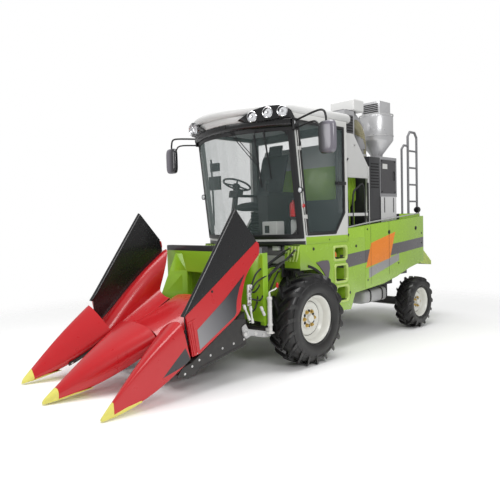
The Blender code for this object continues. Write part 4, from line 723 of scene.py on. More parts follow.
lime_and_black = finish("lime_sheet_black_beams", (0.3, 0.5, 0.03), 0.32, coat=0.3, pattern=header_pattern,
                        grain=0.05, dust=0.05)
dress("header_frame", lime_and_black, 0.003)
dress("row_unit_frame", steel_black, 0.003)
LOWER_PLATE = [(-1.828, 0.222), (-1.700, 0.180), (-1.550, 0.246), (-0.930, 0.372), (-0.925, 0.640), (-1.090, 0.655),
               (-1.545, 0.385), (-1.644, 0.326), (-1.760, 0.300)]
for side, sign in SIDES:
    skin = plate(LOWER_PLATE, sign * (SHROUD_INNER - 0.001), sign * (SHROUD_INNER + 0.007))
    lip = plate([(-1.550, 0.246), (-0.930, 0.372), (-0.930, 0.392), (-1.550, 0.266)],
                sign * (SHROUD_INNER - 0.030), sign * (SHROUD_INNER + 0.012))
    put(f"{side}_lower_plate", gather(skin, lip), steel_black, "header", "black_steel", bevel=0.002)
    strips = []
    for inner, outer in ((0.3765, 0.3815), (0.4285, 0.4335)):
        rings = []
        for y in (HOOD_FRONT_Y + 0.010, -1.200, -0.940):
            z = slot_z(y)
            rings.append([(sign * x, y + AXLE_Y, h) for x, h in
                          ((inner, z - 0.030), (outer, z - 0.030), (outer, z + 0.006), (inner, z + 0.006))])
        strips.append(loft(rings))
    for k in range(7):
        y = HOOD_FRONT_Y + 0.060 + k * 0.095
        z = slot_z(y) - 0.030
        strips.append(loft([[(sign * x, y + b + AXLE_Y, z) for x, b in ((0.376, 0), (0.434, 0.010), (0.434, 0.024),
                                                                        (0.376, 0.034))],
                            [(sign * x, y + b + AXLE_Y, z + 0.016) for x, b in ((0.376, 0.004), (0.434, 0.012),
                                                                               (0.434, 0.022), (0.376, 0.030))]]))
    put(f"{side}_row_chain_strips", gather(*strips), steel_black, "header", "black_steel")
for side, sign in SIDES:
    nose = {**outer_nose, "sign": sign}
    rings = []
    for share in (0.50, 0.60, 0.75, 0.92):
        ring = [nose_point(nose, share, u, v, 0.004 + drop) for u, v, drop in
                ((0.93, 0.22, 0.0), (0.80, 0.12, 0.0), (0.80, 0.12, 0.022), (0.93, 0.22, 0.022))]
        rings.append(ring)
    spot = nose_point(nose, 0.53, 0.90, 0.19, 0.030)
    put(f"{side}_nose_skid", loft(rings), steel_black, f"{side}_nose", "black_steel", bevel=0.002)
    put(f"{side}_skid_bolt", button(spot, 0.012, 0.008, (-sign * 0.5, 0, -0.85)), bright_steel, f"{side}_nose",
        "zinc")

# ------------------------------------------------------------------ stand jack
# A pale painted screw jack on the header's side with a base ring, a collar
# and a bent crank with a red grip.
pale = finish("pale_grey_paint", (0.66, 0.66, 0.64), 0.36, coat=0.15, mottle=0.15, dust=0.12)
JACK = Vector((HEADER_HALF + 0.016, *at_axle(-0.598, 0)))


def tube(points, radius, sides=12, steps=0):
    """A round bar along a line of points, smoothed when steps is set."""
    points = smooth_line(points, steps) if steps else [Vector(p) for p in points]
    steps_along = [(b - a).normalized() for a, b in zip(points, points[1:])]
    side = steps_along[0].orthogonal().normalized()
    rings = []
    for k, here in enumerate(points):
        before = steps_along[max(k - 1, 0)]
        after = steps_along[min(k, len(steps_along) - 1)]
        middle = (before + after).normalized()
        side = (side - middle * side.dot(middle)).normalized()
        other = middle.cross(side)
        ring = []
        for n in range(sides):
            angle = 2 * math.pi * (n + 0.5) / sides
            ring.append(here + (side * math.cos(angle) + other * math.sin(angle)) * radius)
        rings.append(ring)
    return loft(rings)


jack_tube = turned([(0, 0.440), (0.046, 0.440), (0.046, 0.450), (0.030, 0.456), (0.0245, 0.462), (0.0245, 0.520),
                    (0.031, 0.524), (0.031, 0.540), (0.0245, 0.544), (0.0245, 0.800), (0.029, 0.804), (0.029, 0.828),
                    (0.020, 0.836), (0.012, 0.838), (0.012, 0.872), (0, 0.872)], JACK, (0, 0, 1), 28)
bracket = loft([[(x, JACK.y + y, z) for x, y in ((SHROUD_INNER - 0.001, -0.025), (JACK.x, -0.025), (JACK.x, 0.025),
                                                (SHROUD_INNER - 0.001, 0.025))] for z in (0.460, 0.496)])
crank = tube([JACK + Vector(p) for p in ((0, 0, 0.850), (0, 0, 0.884), (0.022, 0.070, 0.912), (0.026, 0.094, 0.930))],
             0.008, steps=5)
put("jack_tube", gather(jack_tube, bracket, crank), pale, "header", "pale_paint", replaces=["support_jack"],
    bevel=0.002)
grip = turned([(0, 0), (0.011, 0), (0.016, 0.008), (0.013, 0.020), (0.016, 0.034), (0.013, 0.046), (0.010, 0.056),
               (0, 0.058)], JACK + Vector((0.026, 0.094, 0.924)), (0.05, 0.1, 1), 16)
put("jack_grip", grip, red, "header", "red_plastic")

# ------------------------------------------------------------------ cab shell
# A welded shell in pale grey paint with a dark lining, clear tinted panes in
# black rubber seals, and black trims down its front pillars.
LIME = (0.305, 0.515, 0.032)
CAB_HALF = 0.845
LINING_HALF = 0.797
SILL_Z = 1.430
SCREEN_TOP_Z = 2.710
BULGE = 0.300
GLASS_THICK = 0.0085


def at(x, y, z):
    """A place in the machine's frame, with y laid out rearwards from the front axle."""
    return Vector((x, y + AXLE_Y, z))


def pillar_y(z):
    """Front face of a front pillar, laid out from the axle; it leans forwards."""
    return 0.087 - 0.147 * (z - SILL_Z) / (SCREEN_TOP_Z - SILL_Z)


def screen_place(x, z, out=0.0):
    """A place on the bowed windshield's outer face, moved out by a little."""
    return at(x, pillar_y(z) - BULGE * (1 - (x / CAB_HALF) ** 2) - GLASS_THICK - out, z)


def cab_pattern(shade, place, x, y, z):
    """Pale paint outside, a charcoal lining inside, lime below the door and black under the windshield."""
    inside = (x * x < LINING_HALF ** 2) * (z > SILL_Z - 0.001)
    flank = (z < 1.446) * (y > AXLE_Y + 0.110) * (x * x > 0.80 ** 2)
    under = (z < 1.402) * (y < AXLE_Y + 0.100)
    shell = blend(shade, flank, (0.60, 0.60, 0.58), LIME)
    return blend(shade, inside, blend(shade, under, shell, (0.02, 0.02, 0.022)), (0.055, 0.058, 0.060))


def pane(name, colour, clear):
    """Tinted glass: nearly clear square on, and shinier towards its edges."""
    glass = bpy.data.materials.new(name)
    glass.use_nodes = True
    shader = glass.node_tree.nodes["Principled BSDF"]
    shade = Shade(glass.node_tree)
    place = shade.make("TexCoord", {}, {}, "Object")
    smear = noise(shade, place, 0.30, 4.0)
    edge_on = shade.make("LayerWeight", {}, {"Blend": 0.25}, "Facing")
    tint = blend(shade, smear, colour, tuple(c * 0.8 for c in colour))
    for feeds, varied in (("Base Color", tint), ("Alpha", edge_on * 0.45 + smear * 0.05 + clear),
                          ("Roughness", smear * 0.04 + 0.02)):
        glass.node_tree.links.new(varied.socket, shader.inputs[feeds])
    return glass


def ribbon(places, across, rise):
    """A flat strip along places; across is its half width, one vector or a list of one for each place."""
    reaches = across if isinstance(across, list) else [across] * len(places)
    return loft([[here - reach, here + reach, here + reach * 0.8 + rise, here - reach * 0.8 + rise]
                 for here, reach in zip(places, reaches)])


def fixed(name, paint, slot, *shapes, **ways):
    """One piece of the chassis, made of all the shapes given."""
    return put(name, gather(*shapes), paint, "chassis", slot, **ways)


cab_paint = finish("cab_paint_and_lining", (0.6, 0.6, 0.6), 0.36, coat=0.15, pattern=cab_pattern, mottle=0.2,
                   grain=0.08)
rubber_seal = finish("black_rubber_seal", (0.007, 0.007, 0.008), 0.45, mottle=0.3, grain=0.15)
clear_glass = pane("windshield_glass", (0.20, 0.27, 0.26), 0.06)
tinted_glass = pane("side_glass", (0.16, 0.22, 0.22), 0.02)
dress("cab_frame", cab_paint, 0.006)
dress("cab_door", rubber_seal, 0.003)
for node, glass in (("windshield", clear_glass), ("right_window", clear_glass), ("rear_window", tinted_glass),
                    ("door_glass", tinted_glass)):
    dress(node, glass)

SEAL_RISE = Vector((0, -0.004, 0))
EDGE_SEAL = 0.032
seals, trims = [], []
for side, sign in SIDES[::-1]:
    places = [screen_place(sign * (CAB_HALF - EDGE_SEAL), SILL_Z + 0.004 + 1.272 * k / 10) for k in range(11)]
    seals.append(ribbon(places, Vector((EDGE_SEAL, 0.021 * sign, 0)), SEAL_RISE))
for z, half_tall in ((SILL_Z + 0.028, 0.026), (SCREEN_TOP_Z - 0.022, 0.022)):
    places = [screen_place(CAB_HALF * (-1 + 2 * k / 30) * 0.985, z) for k in range(31)]
    seals.append(ribbon(places, Vector((0, -0.115 * half_tall, half_tall)), SEAL_RISE))
for side, sign in SIDES[::-1]:
    for z, turn in ((SILL_Z + 0.050, 1), (SCREEN_TOP_Z - 0.042, -1)):
        for k in range(6):              # short strips that round off the corner
            depth = 0.075 * (1 - k / 6) ** 2
            x = sign * (CAB_HALF - 0.062 - 0.012 * k)
            seals.append(ribbon([screen_place(x, z - 0.003 * turn), screen_place(x, z + depth * turn)],
                                Vector((0.007, 0, 0)), SEAL_RISE))
    trims.append(ribbon([at(sign * (CAB_HALF + 0.0005), pillar_y(z) + 0.030, z) for z in (1.470, 2.780)],
                        Vector((0, 0.005, 0)), Vector((sign * 0.004, 0, 0))))
fixed("windshield_seal", rubber_seal, "black_plastic", *seals)
fixed("pillar_trim", rubber_seal, "black_plastic", *trims)

# ------------------------------------------------------------------ cab roof
# A moulded white roof with a bowed front face over a black visor, and a black
# lamp pod with three round lamps let into each end of the front.
white = finish("white_moulded_roof", (0.68, 0.68, 0.67), 0.34, coat=0.25, mottle=0.12, grain=0.06)
chrome = finish("polished_reflector", (0.80, 0.80, 0.82), 0.12, metal=1.0, mottle=0.1)
lens = finish("clear_lens", (0.78, 0.80, 0.82), 0.08, coat=1.0, mottle=0.5, mottle_size=0.02)
red_glass = finish("red_reflector", (0.50, 0.012, 0.012), 0.15, coat=0.8, mottle=0.4, mottle_size=0.01)
ROOF_LOW_Z = 2.8655
ROOF_TOP_Z = 2.999


def box_shape(x, y, z, lean=0.0):
    """A box between corners laid out from the axle; its top may lean rearwards."""
    low = [(a, b + AXLE_Y, z[0]) for a in x for b in (y if a == x[0] else y[::-1])]
    return loft([low, [(a, b + lean, z[1]) for a, b, c in low]])


def roof_line(inset, front_y, bulge, rear_y, steps=24):
    """Level outline of the roof: a bowed front with round corners and a straight rear."""
    half = CAB_HALF - inset
    corner = 0.10
    line = []
    for k in range(steps + 1):
        x = (half - corner * 0.3) * (1 - 2 * k / steps)
        line.append((x, front_y - bulge * (1 - (x / half) ** 2) + AXLE_Y))
    right = [(-half, front_y + corner + AXLE_Y), (-half, rear_y - 0.05 + AXLE_Y), (-half + 0.05, rear_y + AXLE_Y)]
    return line + right + [(-x, y) for x, y in reversed(right)]


ROOF_LEVELS = (
    (ROOF_LOW_Z, 0.016, -0.170, 0.300, 1.075), (ROOF_LOW_Z + 0.012, 0.004, -0.176, 0.315, 1.086),
    (ROOF_LOW_Z + 0.030, 0.000, -0.180, 0.320, 1.090), (2.930, 0.000, -0.178, 0.320, 1.090),
    (2.955, 0.008, -0.160, 0.320, 1.078), (2.972, 0.030, -0.125, 0.315, 1.050), (2.984, 0.080, -0.060, 0.300, 1.000),
    (2.992, 0.180, 0.040, 0.270, 0.900), (ROOF_TOP_Z, 0.360, 0.200, 0.200, 0.740))
dome = loft([[(x, y, z) for x, y in roof_line(*level)] for z, *level in ROOF_LEVELS])
RIB_SPACING = 0.320
ribs = [box_shape((x - 0.018, x + 0.018), (0.100, 0.900), (2.985, 2.9990))
        for x in (-0.480 + k * RIB_SPACING for k in range(4))]
fixed("roof_moulding", white, "pale_paint", dome, *ribs, replaces=["cab_roof"], bevel=0.004, sharp=50)


def front_band(levels, half, back, steps=36):
    """A bowed strip over the windshield: each level is its height and how far it stands out."""
    rings = []
    for k in range(steps + 1):
        x = half * (1 - 2 * k / steps)
        rings.append([screen_place(x, z, out) for z, out in levels]
                     + [screen_place(x, z, -back) for z in (levels[-1][0], levels[0][0])])
    return loft(rings)


FASCIA = ((2.790, 0.036), (2.795, 0.052), (2.820, 0.062), (2.850, 0.066), (2.864, 0.062))
VISOR = ((2.712, 0.012), (2.716, 0.030), (2.745, 0.046), (2.786, 0.044))
fixed("roof_front_face", white, "pale_paint", front_band(FASCIA, CAB_HALF - 0.002, 0.020), replaces=["lamp_band"],
      sharp=50)
fixed("visor", glossy_black, "black_plastic", front_band(VISOR, CAB_HALF - 0.004, 0.020), sharp=50)
POD_INNER, POD_OUTER = 0.325, 0.866
LAMPS = ((0.500, 2.830), (0.668, 2.862), (0.812, 2.868))
BOWL = ((0.050, -0.010), (0.062, -0.010), (0.063, 0.012), (0.058, 0.017), (0.053, 0.014), (0.050, 0.004))
BULB = ((0, -0.004), (0.020, -0.004), (0.020, 0.010), (0.012, 0.013), (0, 0.013))
LENS = ((0, -0.006), (0.052, -0.006), (0.052, 0.004), (0.046, 0.007), (0.024, 0.0105), (0, 0.0115))
for side, sign in SIDES:
    rings = []
    for k in range(25):
        share = k / 24
        x = POD_INNER + (POD_OUTER - POD_INNER) * share
        tail_off = 1 if share < 0.9 else 1 - 4 * (share - 0.9)
        top = 2.806 + 0.130 * math.sin(min(share * 1.45, 1) * math.pi / 2) * tail_off
        low = 2.792 - 0.022 * math.sin(math.pi * min(share * 1.2, 1))
        rings.append([screen_place(sign * x, z, out) for z, out in (
            (low, 0.050), (low + 0.006, 0.100), ((top + low) / 2, 0.112), (top - 0.008, 0.118), (top, 0.110),
            (top - 0.004, 0.060), (low, 0.0))])
    fixed(f"{side}_lamp_pod", glossy_black, "black_plastic", loft(rings), sharp=50)
    bowls, glasses = [], []
    for x, z in LAMPS:
        slope = 2 * BULGE * x / CAB_HALF ** 2
        aim = Vector((sign * slope * 0.75, -1, -0.08)).normalized()
        centre = screen_place(sign * x, z, 0.108)
        bowls += [turned(BOWL, centre, aim, 40), turned(BULB, centre, aim, 24)]
        glasses.append(turned(LENS, centre, aim, 40))
    fixed(f"{side}_lamp_bowls", chrome, "chrome", *bowls, sharp=40)
    fixed(f"{side}_lamp_lenses", lens, "lens", *glasses, sharp=40)
bodies, lenses, reflectors = [], [], []
for side, sign in SIDES[::-1]:
    for z, radius in ((1.992, 0.030), (2.748, 0.032)):
        spot = at(sign * (CAB_HALF + 0.012), pillar_y(z) + 0.007, z)
        bodies.append(turned([(0, -0.012), (radius * 0.7, -0.012), (radius + 0.006, 0.012), (radius + 0.006, 0.032),
                              (radius, 0.034), (radius, 0.026), (0, 0.026)], spot, (0, -1, 0), 24))
        lenses.append(turned([(0, 0.020), (radius, 0.020), (radius, 0.029), (radius * 0.5, 0.034), (0, 0.035)],
                             spot, (0, -1, 0), 24))
    reflectors.append(button(at(sign * (CAB_HALF + 0.002), pillar_y(1.812) + 0.022, 1.812), 0.016, 0.008,
                             (sign, -0.6, 0), 20))
fixed("pillar_lamp_bodies", glossy_black, "black_plastic", *bodies)
fixed("pillar_lamp_lenses", lens, "lens", *lenses)
fixed("pillar_reflectors", red_glass, "reflector", *reflectors)

# ------------------------------------------------------------------ wipers
# Two black wiper arms hung under the visor, each a pair of thin rods with a
# slim rubber blade, lying on the windshield.
WIPER_RODS = (((0.060, 2.775), (0.430, 2.300)), ((0.095, 2.775), (0.465, 2.310)), ((0.445, 2.700), (0.442, 2.380)),
              ((0.545, 2.660), (0.575, 2.150)))
WIPER_BLADES = (((0.430, 2.640), (0.030, 0.600)), ((0.548, 2.690), (0.028, 0.560)))
wipers = [tube([screen_place(start[0] + (end[0] - start[0]) * k / 8, start[1] + (end[1] - start[1]) * k / 8, 0.016)
                for k in range(9)], 0.005, 8) for start, end in WIPER_RODS]
wipers += [ribbon([screen_place(x + across * k / 12, z - drop * k / 12, 0.006) for k in range(13)],
                  Vector((0.006, 0, 0)), Vector((0, -0.012, 0))) for (x, z), (across, drop) in WIPER_BLADES]
pivot = turned([(0, -0.010), (0.024, -0.010), (0.024, 0.018), (0.018, 0.024), (0, 0.024)],
               screen_place(0.070, 2.770, 0.030), (0, -1, 0), 20)
fixed("wiper_arms", rubber_seal, "black_plastic", *wipers, pivot)

# ------------------------------------------------------------------ mirrors
# Tall moulded mirror heads on bent tubes that reach out from the pillars'
# tops, with silver glass behind.
MIRROR_X, MIRROR_Z = 1.360, 2.520
MIRROR_HALF, MIRROR_TALL = 0.108, 0.174
MIRROR_SHELL = ((-0.112, 0.94), (-0.116, 1.0), (-0.140, 1.0), (-0.156, 0.95), (-0.166, 0.84), (-0.171, 0.60))
UPPER_ARM = ((0.060, -0.060, 2.780), (0.355, -0.130, 2.812), (0.470, -0.140, 2.806), (0.505, -0.140, 2.740),
             (0.507, -0.140, 2.660))
LOWER_ARM = ((0.060, -0.050, 2.695), (0.335, -0.125, 2.712), (0.417, -0.140, 2.640))


def head_outline(sign, y, half_x, half_z, steps=40):
    """Rounded outline of a mirror head, laid out from the axle."""
    line = []
    for k in range(steps):
        c, s = math.cos(2 * math.pi * k / steps), math.sin(2 * math.pi * k / steps)
        line.append((sign * MIRROR_X + half_x * math.copysign(abs(c) ** 0.45, c), y + AXLE_Y,
                     MIRROR_Z + half_z * math.copysign(abs(s) ** 0.40, s)))
    return line


def mirror_pattern(shade, place, x, y, z):
    """Black that pales to a silver lilac over the outer part of the shell."""
    outer = shade.make("MapRange", {"interpolation_type": "SMOOTHSTEP"},
                       {"Value": x * x, "From Min": 1.66, "From Max": 1.98})
    return blend(shade, outer, (0.016, 0.016, 0.019), (0.17, 0.16, 0.19))


mirror_shell = finish("mirror_shell_plastic", (0.02, 0.02, 0.02), 0.24, coat=0.6, pattern=mirror_pattern, mottle=0.2)
for side, sign in SIDES:
    shell = loft([head_outline(sign, y, MIRROR_HALF * grow, MIRROR_TALL - MIRROR_HALF * (1 - grow))
                  for y, grow in MIRROR_SHELL])
    fixed(f"{side}_mirror_head", mirror_shell, "black_plastic", shell, replaces=[f"{side}_mirror"], sharp=40)
    fixed(f"{side}_mirror_glass", chrome, "chrome",
          loft([head_outline(sign, y, 0.092, 0.158) for y in (-0.113, -0.110)]))
    root = CAB_HALF - 0.0007
    arms = [tube([at(sign * root, pillar_y(lean_z) + 0.020, root_z)]
                 + [at(sign * ((root if reach == 0.060 else CAB_HALF) + reach), y, z) for reach, y, z in arm],
                 radius, 12, 5)
            for arm, lean_z, root_z, radius in ((UPPER_ARM, 2.77, 2.770, 0.0115), (LOWER_ARM, 2.60, 2.690, 0.010))]
    fixed(f"{side}_mirror_arms", rubber_seal, "black_plastic", *arms)
    clamp = box_shape((sign * (CAB_HALF + 0.0004), sign * (CAB_HALF + 0.030)), (-0.100, -0.010), (2.670, 2.800))
    fixed(f"{side}_mirror_clamp", rubber_seal, "black_plastic", clamp, bevel=0.008)

# ------------------------------------------------------------------ seat
# A sprung driver's seat in dark woven cloth: crowned cushions with piped
# seams and sewn channels, over a ribbed bellows and a black base.
moulded_black = finish("grained_black_plastic", (0.020, 0.020, 0.022), 0.42, mottle=0.25, grain=0.35,
                       grain_size=0.002)


def cloth_pattern(shade, place, x, y, z):
    """Charcoal weave with faint lighter threads."""
    warp, weft = (shade.make("TexWave", {"bands_direction": way}, {"Vector": place, "Scale": 160.0, "Distortion": 0.6})
                  for way in "XZ")
    return blend(shade, warp * weft, (0.022, 0.022, 0.026), (0.065, 0.066, 0.075))


cloth = finish("seat_cloth", (0.03, 0.03, 0.035), 0.85, pattern=cloth_pattern, mottle=0.3, grain=0.6, grain_size=0.003)
CUSHION_ACROSS, CUSHION_ALONG = 22, 26


def cushion(half_x, length, thick, channels, place, tilt):
    """A crowned pad with pulled-in sides and sewn channels, tilted back and set in place."""
    rings = []
    for j in range(CUSHION_ALONG + 1):
        v = -1 + 2 * j / CUSHION_ALONG
        ring = []
        for face in (1, -1):
            for i in range(CUSHION_ACROSS + 1):
                u = (-1 + 2 * i / CUSHION_ACROSS) * face
                edge = (1 - abs(u) ** 5) * (1 - abs(v) ** 5)
                crown = thick / 2 * (max(edge, 0) ** 0.45) * (1.0 if face > 0 else 0.85)
                sewn = sum(math.exp(-((v - channel) / 0.035) ** 2) for channel in channels) * 0.14 * (face > 0)
                seam = math.exp(-((abs(u) - 0.62) / 0.03) ** 2) * 0.12 * (face > 0)
                pull = 1 - 0.05 * (1 - abs(v) ** 2) * abs(u)
                ring.append((u * half_x * pull, v * length / 2, face * crown * (1 - sewn - seam)))
        rings.append(ring)
    pad = loft(rings)
    turn = Matrix.Translation(at(*place)) @ Matrix.Rotation(math.radians(tilt), 4, "X")
    bmesh.ops.transform(pad, matrix=turn, verts=pad.verts)
    return pad


CHANNELS = (-0.45, 0.0, 0.45)
for name, node, shape, fill in (
        ("seat_cushion_pad", ["seat_cushion"], (0.238, 0.490, 0.130, CHANNELS, (-0.250, 0.465, 1.845), 4), 0.75),
        ("seat_back_pad", ["seat_back"], (0.238, 0.640, 0.125, CHANNELS, (-0.250, 0.735, 2.235), 74), 0.75),
        ("seat_headrest", (), (0.120, 0.150, 0.080, (), (-0.250, 0.822, 2.605), 78), 0.8)):
    fixed(name, cloth, "cloth", cushion(*shape), replaces=node, sharp=60)
bellows = [(0, 1.445)]
for z in (1.450 + 0.045 * k for k in range(7)):
    bellows += [(0.190, z), (0.165, z + 0.022)]
bellows += [(0.190, 1.765), (0, 1.765)]
console = [box_shape((0.058, 0.222), (0.140, 0.720), (1.4305, 1.965), -0.02),
           box_shape((0.075, 0.205), (0.170, 0.690), (1.960, 2.012)),
           box_shape((-0.500, -0.450), (0.300, 0.640), (1.975, 2.010))]
stick = tube([at(0.140, 0.210, 2.000), at(0.140, 0.190, 2.070), at(0.140, 0.200, 2.110)], 0.014, 12, 4)
knob = turned([(0, 0), (0.020, 0.004), (0.028, 0.030), (0.024, 0.060), (0, 0.072)], at(0.140, 0.200, 2.095),
              (0, 0.1, 1), 20)
fixed("seat_base_and_console", moulded_black, "black_plastic", turned(bellows, at(-0.250, 0.480, 0), (0, 0, 1), 4),
      *console, stick, knob, replaces=["seat_base"], bevel=0.006)

# ------------------------------------------------------------------ steering
# A round steering wheel with three spokes on a leaning column over a foot
# bracket, in grained black plastic.
HUB = at(-0.250, 0.060, 2.125)
WHEEL_AXIS = Vector((0, 0.42, 1)).normalized()
GRIP_RADIUS, GRIP_THICK = 0.178, 0.013
across = WHEEL_AXIS.orthogonal().normalized()
grip = [(GRIP_RADIUS + GRIP_THICK * math.cos(a), GRIP_THICK * math.sin(a))
        for a in (k * math.pi / 5 for k in range(10))]
shapes = [turned(grip, HUB, WHEEL_AXIS, 56),
          turned([(0, -0.050), (0.048, -0.050), (0.052, -0.010), (0.040, 0.004), (0, 0.008)], HUB, WHEEL_AXIS, 32),
          tube([HUB - WHEEL_AXIS * 0.04, at(-0.250, 0.010, 1.850), at(-0.250, -0.060, 1.560)], 0.036, 20, 4),
          box_shape((-0.340, -0.160), (-0.120, 0.050), (1.4305, 1.560)),
          box_shape((-0.330, -0.170), (-0.020, 0.080), (1.960, 2.050), 0.02)]
for k in range(3):
    spoke = Matrix.Rotation(2 * math.pi * (k + 0.25) / 3, 3, WHEEL_AXIS) @ across
    shapes.append(tube([HUB + spoke * 0.035 - WHEEL_AXIS * 0.012, HUB + spoke * 0.172], 0.011, 10))
fixed("steering_wheel", moulded_black, "black_plastic", *shapes, replaces=["steering_column"], bevel=0.005)

# ------------------------------------------------------------------ cab fittings
# Displays on a post, a pale heater box and kick panel behind the windshield,
# a cloth headlining and a red extinguisher with its valve, hose and bracket.
lining_cloth = finish("cab_roof_lining", (0.24, 0.25, 0.25), 0.8, mottle=0.2, grain=0.4)
fixed("cab_displays", moulded_black, "black_plastic", box_shape((-0.770, -0.560), (0.030, 0.070), (2.080, 2.260)),
      box_shape((-0.760, -0.600), (0.050, 0.090), (2.330, 2.440)),
      tube([at(-0.790, 0.120, 1.600), at(-0.770, 0.100, 2.000), at(-0.780, 0.090, 2.500)], 0.013, 10, 4), bevel=0.008)
fixed("cab_heater_box", pale, "pale_paint", box_shape((0.300, 0.540), (-0.060, 0.080), (1.4305, 1.640)), bevel=0.012)
# The grille is a dark plate that paints the shade behind its openings.
fixed("heater_grille", shadow, "black_plastic", box_shape((0.345, 0.420), (-0.062, -0.056), (1.500, 1.590)),
      bevel=0.002)
fixed("door_side_kick_panel", pale, "pale_paint", box_shape((0.640, 0.780), (0.060, 0.140), (1.4305, 1.660)),
      bevel=0.030, bevel_steps=4)
fixed("cab_headlining", lining_cloth, "grey_paint", box_shape((-0.780, 0.780), (-0.020, 0.880), (2.838, 2.8640)),
      box_shape((-0.500, 0.500), (-0.160, -0.020), (2.800, 2.8630)), bevel=0.010)
BOTTLE = ((0, 0), (0.040, 0), (0.046, 0.010), (0.046, 0.130), (0.036, 0.160), (0.016, 0.172), (0.016, 0.190),
          (0, 0.190))
fixed("extinguisher_bottle", red, "red_plastic", turned(BOTTLE, at(0.730, 0.030, 1.690), (0, 0, 1), 32), sharp=50)
fixed("extinguisher_valve", moulded_black, "black_plastic",
      turned([(0, 0), (0.014, 0), (0.014, 0.030), (0, 0.030)], at(0.730, 0.030, 1.878), (0, 0, 1), 16),
      tube([at(0.730, 0.030, 1.900), at(0.765, 0.030, 1.910), at(0.782, 0.030, 1.840), at(0.780, 0.030, 1.730)],
           0.007, 10, 4), box_shape((0.690, 0.780), (0.020, 0.076), (1.655, 1.692)), bevel=0.003)

# ------------------------------------------------------------------ front body
# Lime sheet-steel fenders around the front wheels, with three step pockets
# pressed into the left side, each with a rounded rim in a paler lime that paints
# its highlight, and an amber lamp.
BODY_FACE = 0.8402


def side_pattern(shade, place, x, y, z):
    """Lime paint with a rising grey stripe, a blank orange decal and a grey slanted panel."""
    back = y - AXLE_Y
    stripe = (z > back * 0.0833 + 0.945) * (z < back * 0.0735 + 1.124) * (back > 0.900)
    body = blend(shade, stripe, LIME, (0.105, 0.098, 0.105))
    slant = (back > 1.428) * (z > back * 0.238 + 0.503) * (z < back * 0.196 + 0.699) * (back < 2.213)
    body = blend(shade, slant, body, (0.30, 0.30, 0.30))
    lean = back - (z - 0.984) * 0.396
    orange = (lean > 1.356) * (lean < 1.930) * (z > back * 0.1527 + 0.777) * (z < back * 0.2115 + 0.998)
    return blend(shade, orange * (x > 0), body, (0.83, 0.23, 0.010))


side_paint = finish("lime_side_paint", LIME, 0.26, coat=0.6, pattern=side_pattern, mottle=0.14, grain=0.04, dust=0.10)
lime = finish("lime_body_paint", LIME, 0.27, coat=0.55, mottle=0.16, grain=0.05, dust=0.12)
# A paler copy of the lime paint: painted highlight on the rounded pocket rims and fender ribs.
highlit_lime = finish("lime_with_painted_highlight", (0.50, 0.66, 0.16), 0.30, coat=0.4, mottle=0.2)
grip_black = finish("ribbed_step_rubber", (0.018, 0.018, 0.018), 0.6, mottle=0.3, grain=0.5)
amber = finish("amber_lamp_lens", (0.80, 0.20, 0.010), 0.14, coat=0.9, mottle=0.4, mottle_size=0.01)
grey_bracket = finish("mauve_grey_plate", (0.135, 0.115, 0.135), 0.38, mottle=0.3, grain=0.1)
# Each step pocket's front, rear, foot and head.
POCKETS = ((0.660, 0.900, 1.150, 1.290), (0.680, 0.910, 0.870, 1.060), (0.700, 0.930, 0.620, 0.790))
RIM_LEVELS = ((0.030, BODY_FACE), (0.026, 0.850), (0.014, 0.8535), (0.004, 0.850), (-0.002, 0.836), (0.0, 0.800))


def pocket_outline(pocket, grow, corner=0.040, steps=6):
    """Rounded rectangle around a step pocket, as (y, z) laid out from the axle."""
    y_low, y_high, z_low, z_high = pocket
    line = []
    for cy, cz, start in ((y_high, z_high, 0), (y_low, z_high, 90), (y_low, z_low, 180), (y_high, z_low, 270)):
        inner_y = cy + (grow - corner if cy == y_high else corner - grow)
        inner_z = cz + (grow - corner if cz == z_high else corner - grow)
        for angle in (math.radians(start + 90 * k / steps) for k in range(steps + 1)):
            line.append((inner_y + corner * math.cos(angle), inner_z + corner * math.sin(angle)))
    return line


# Each pocket's rim is in the paler lime that paints its highlight.
for number, pocket in enumerate(POCKETS, 1):
    edge = loft([[(x, y + AXLE_Y, z) for y, z in pocket_outline(pocket, grow)] for grow, x in RIM_LEVELS], closed=True)
    fixed(f"left_step_rim_{number}", highlit_lime, "lime_paint", edge, sharp=50)
    y_low, y_high, z_low, z_high = pocket
    treads = [box_shape((0.700, 0.842), (y - 0.010, y + 0.010), (z_low + 0.0005, z_low + 0.008))
              for y in (y_low + 0.030 + (y_high - y_low - 0.060) * k / 6 for k in range(7))]
    fixed(f"left_step_tread_{number}", grip_black, "black_plastic", *treads, bevel=0.002)
LAMP_FOOT = at(0.800, 0.700, 1.1585)
fixed("side_lamp_base", glossy_black, "black_plastic",
      turned([(0, 0), (0.036, 0), (0.038, 0.010), (0.034, 0.018), (0, 0.018)], LAMP_FOOT, (0, 0, 1), 24))
fixed("side_lamp_lens", amber, "orange_decal",
      turned([(0, 0.016), (0.034, 0.016), (0.035, 0.045), (0.030, 0.072), (0.018, 0.086), (0, 0.090)], LAMP_FOOT,
             (0, 0, 1), 28), sharp=50)
BRACKET = ((0.285, 1.135), (0.400, 1.150), (0.525, 1.146), (0.548, 1.100), (0.553, 1.049), (0.518, 0.929),
           (0.470, 0.950), (0.429, 1.003), (0.360, 1.075))
BODY_BOLTS = ((1.132, 1.290), (0.560, 1.400), (0.960, 1.440), (0.980, 0.700), (0.600, 0.620), (0.250, 1.300))
ARCH_Z = 0.522
arch = [(0.640 * math.cos(math.radians(a)) - 0.020, ARCH_Z + 0.600 * math.sin(math.radians(a)))
        for a in range(12, 78, 4)]
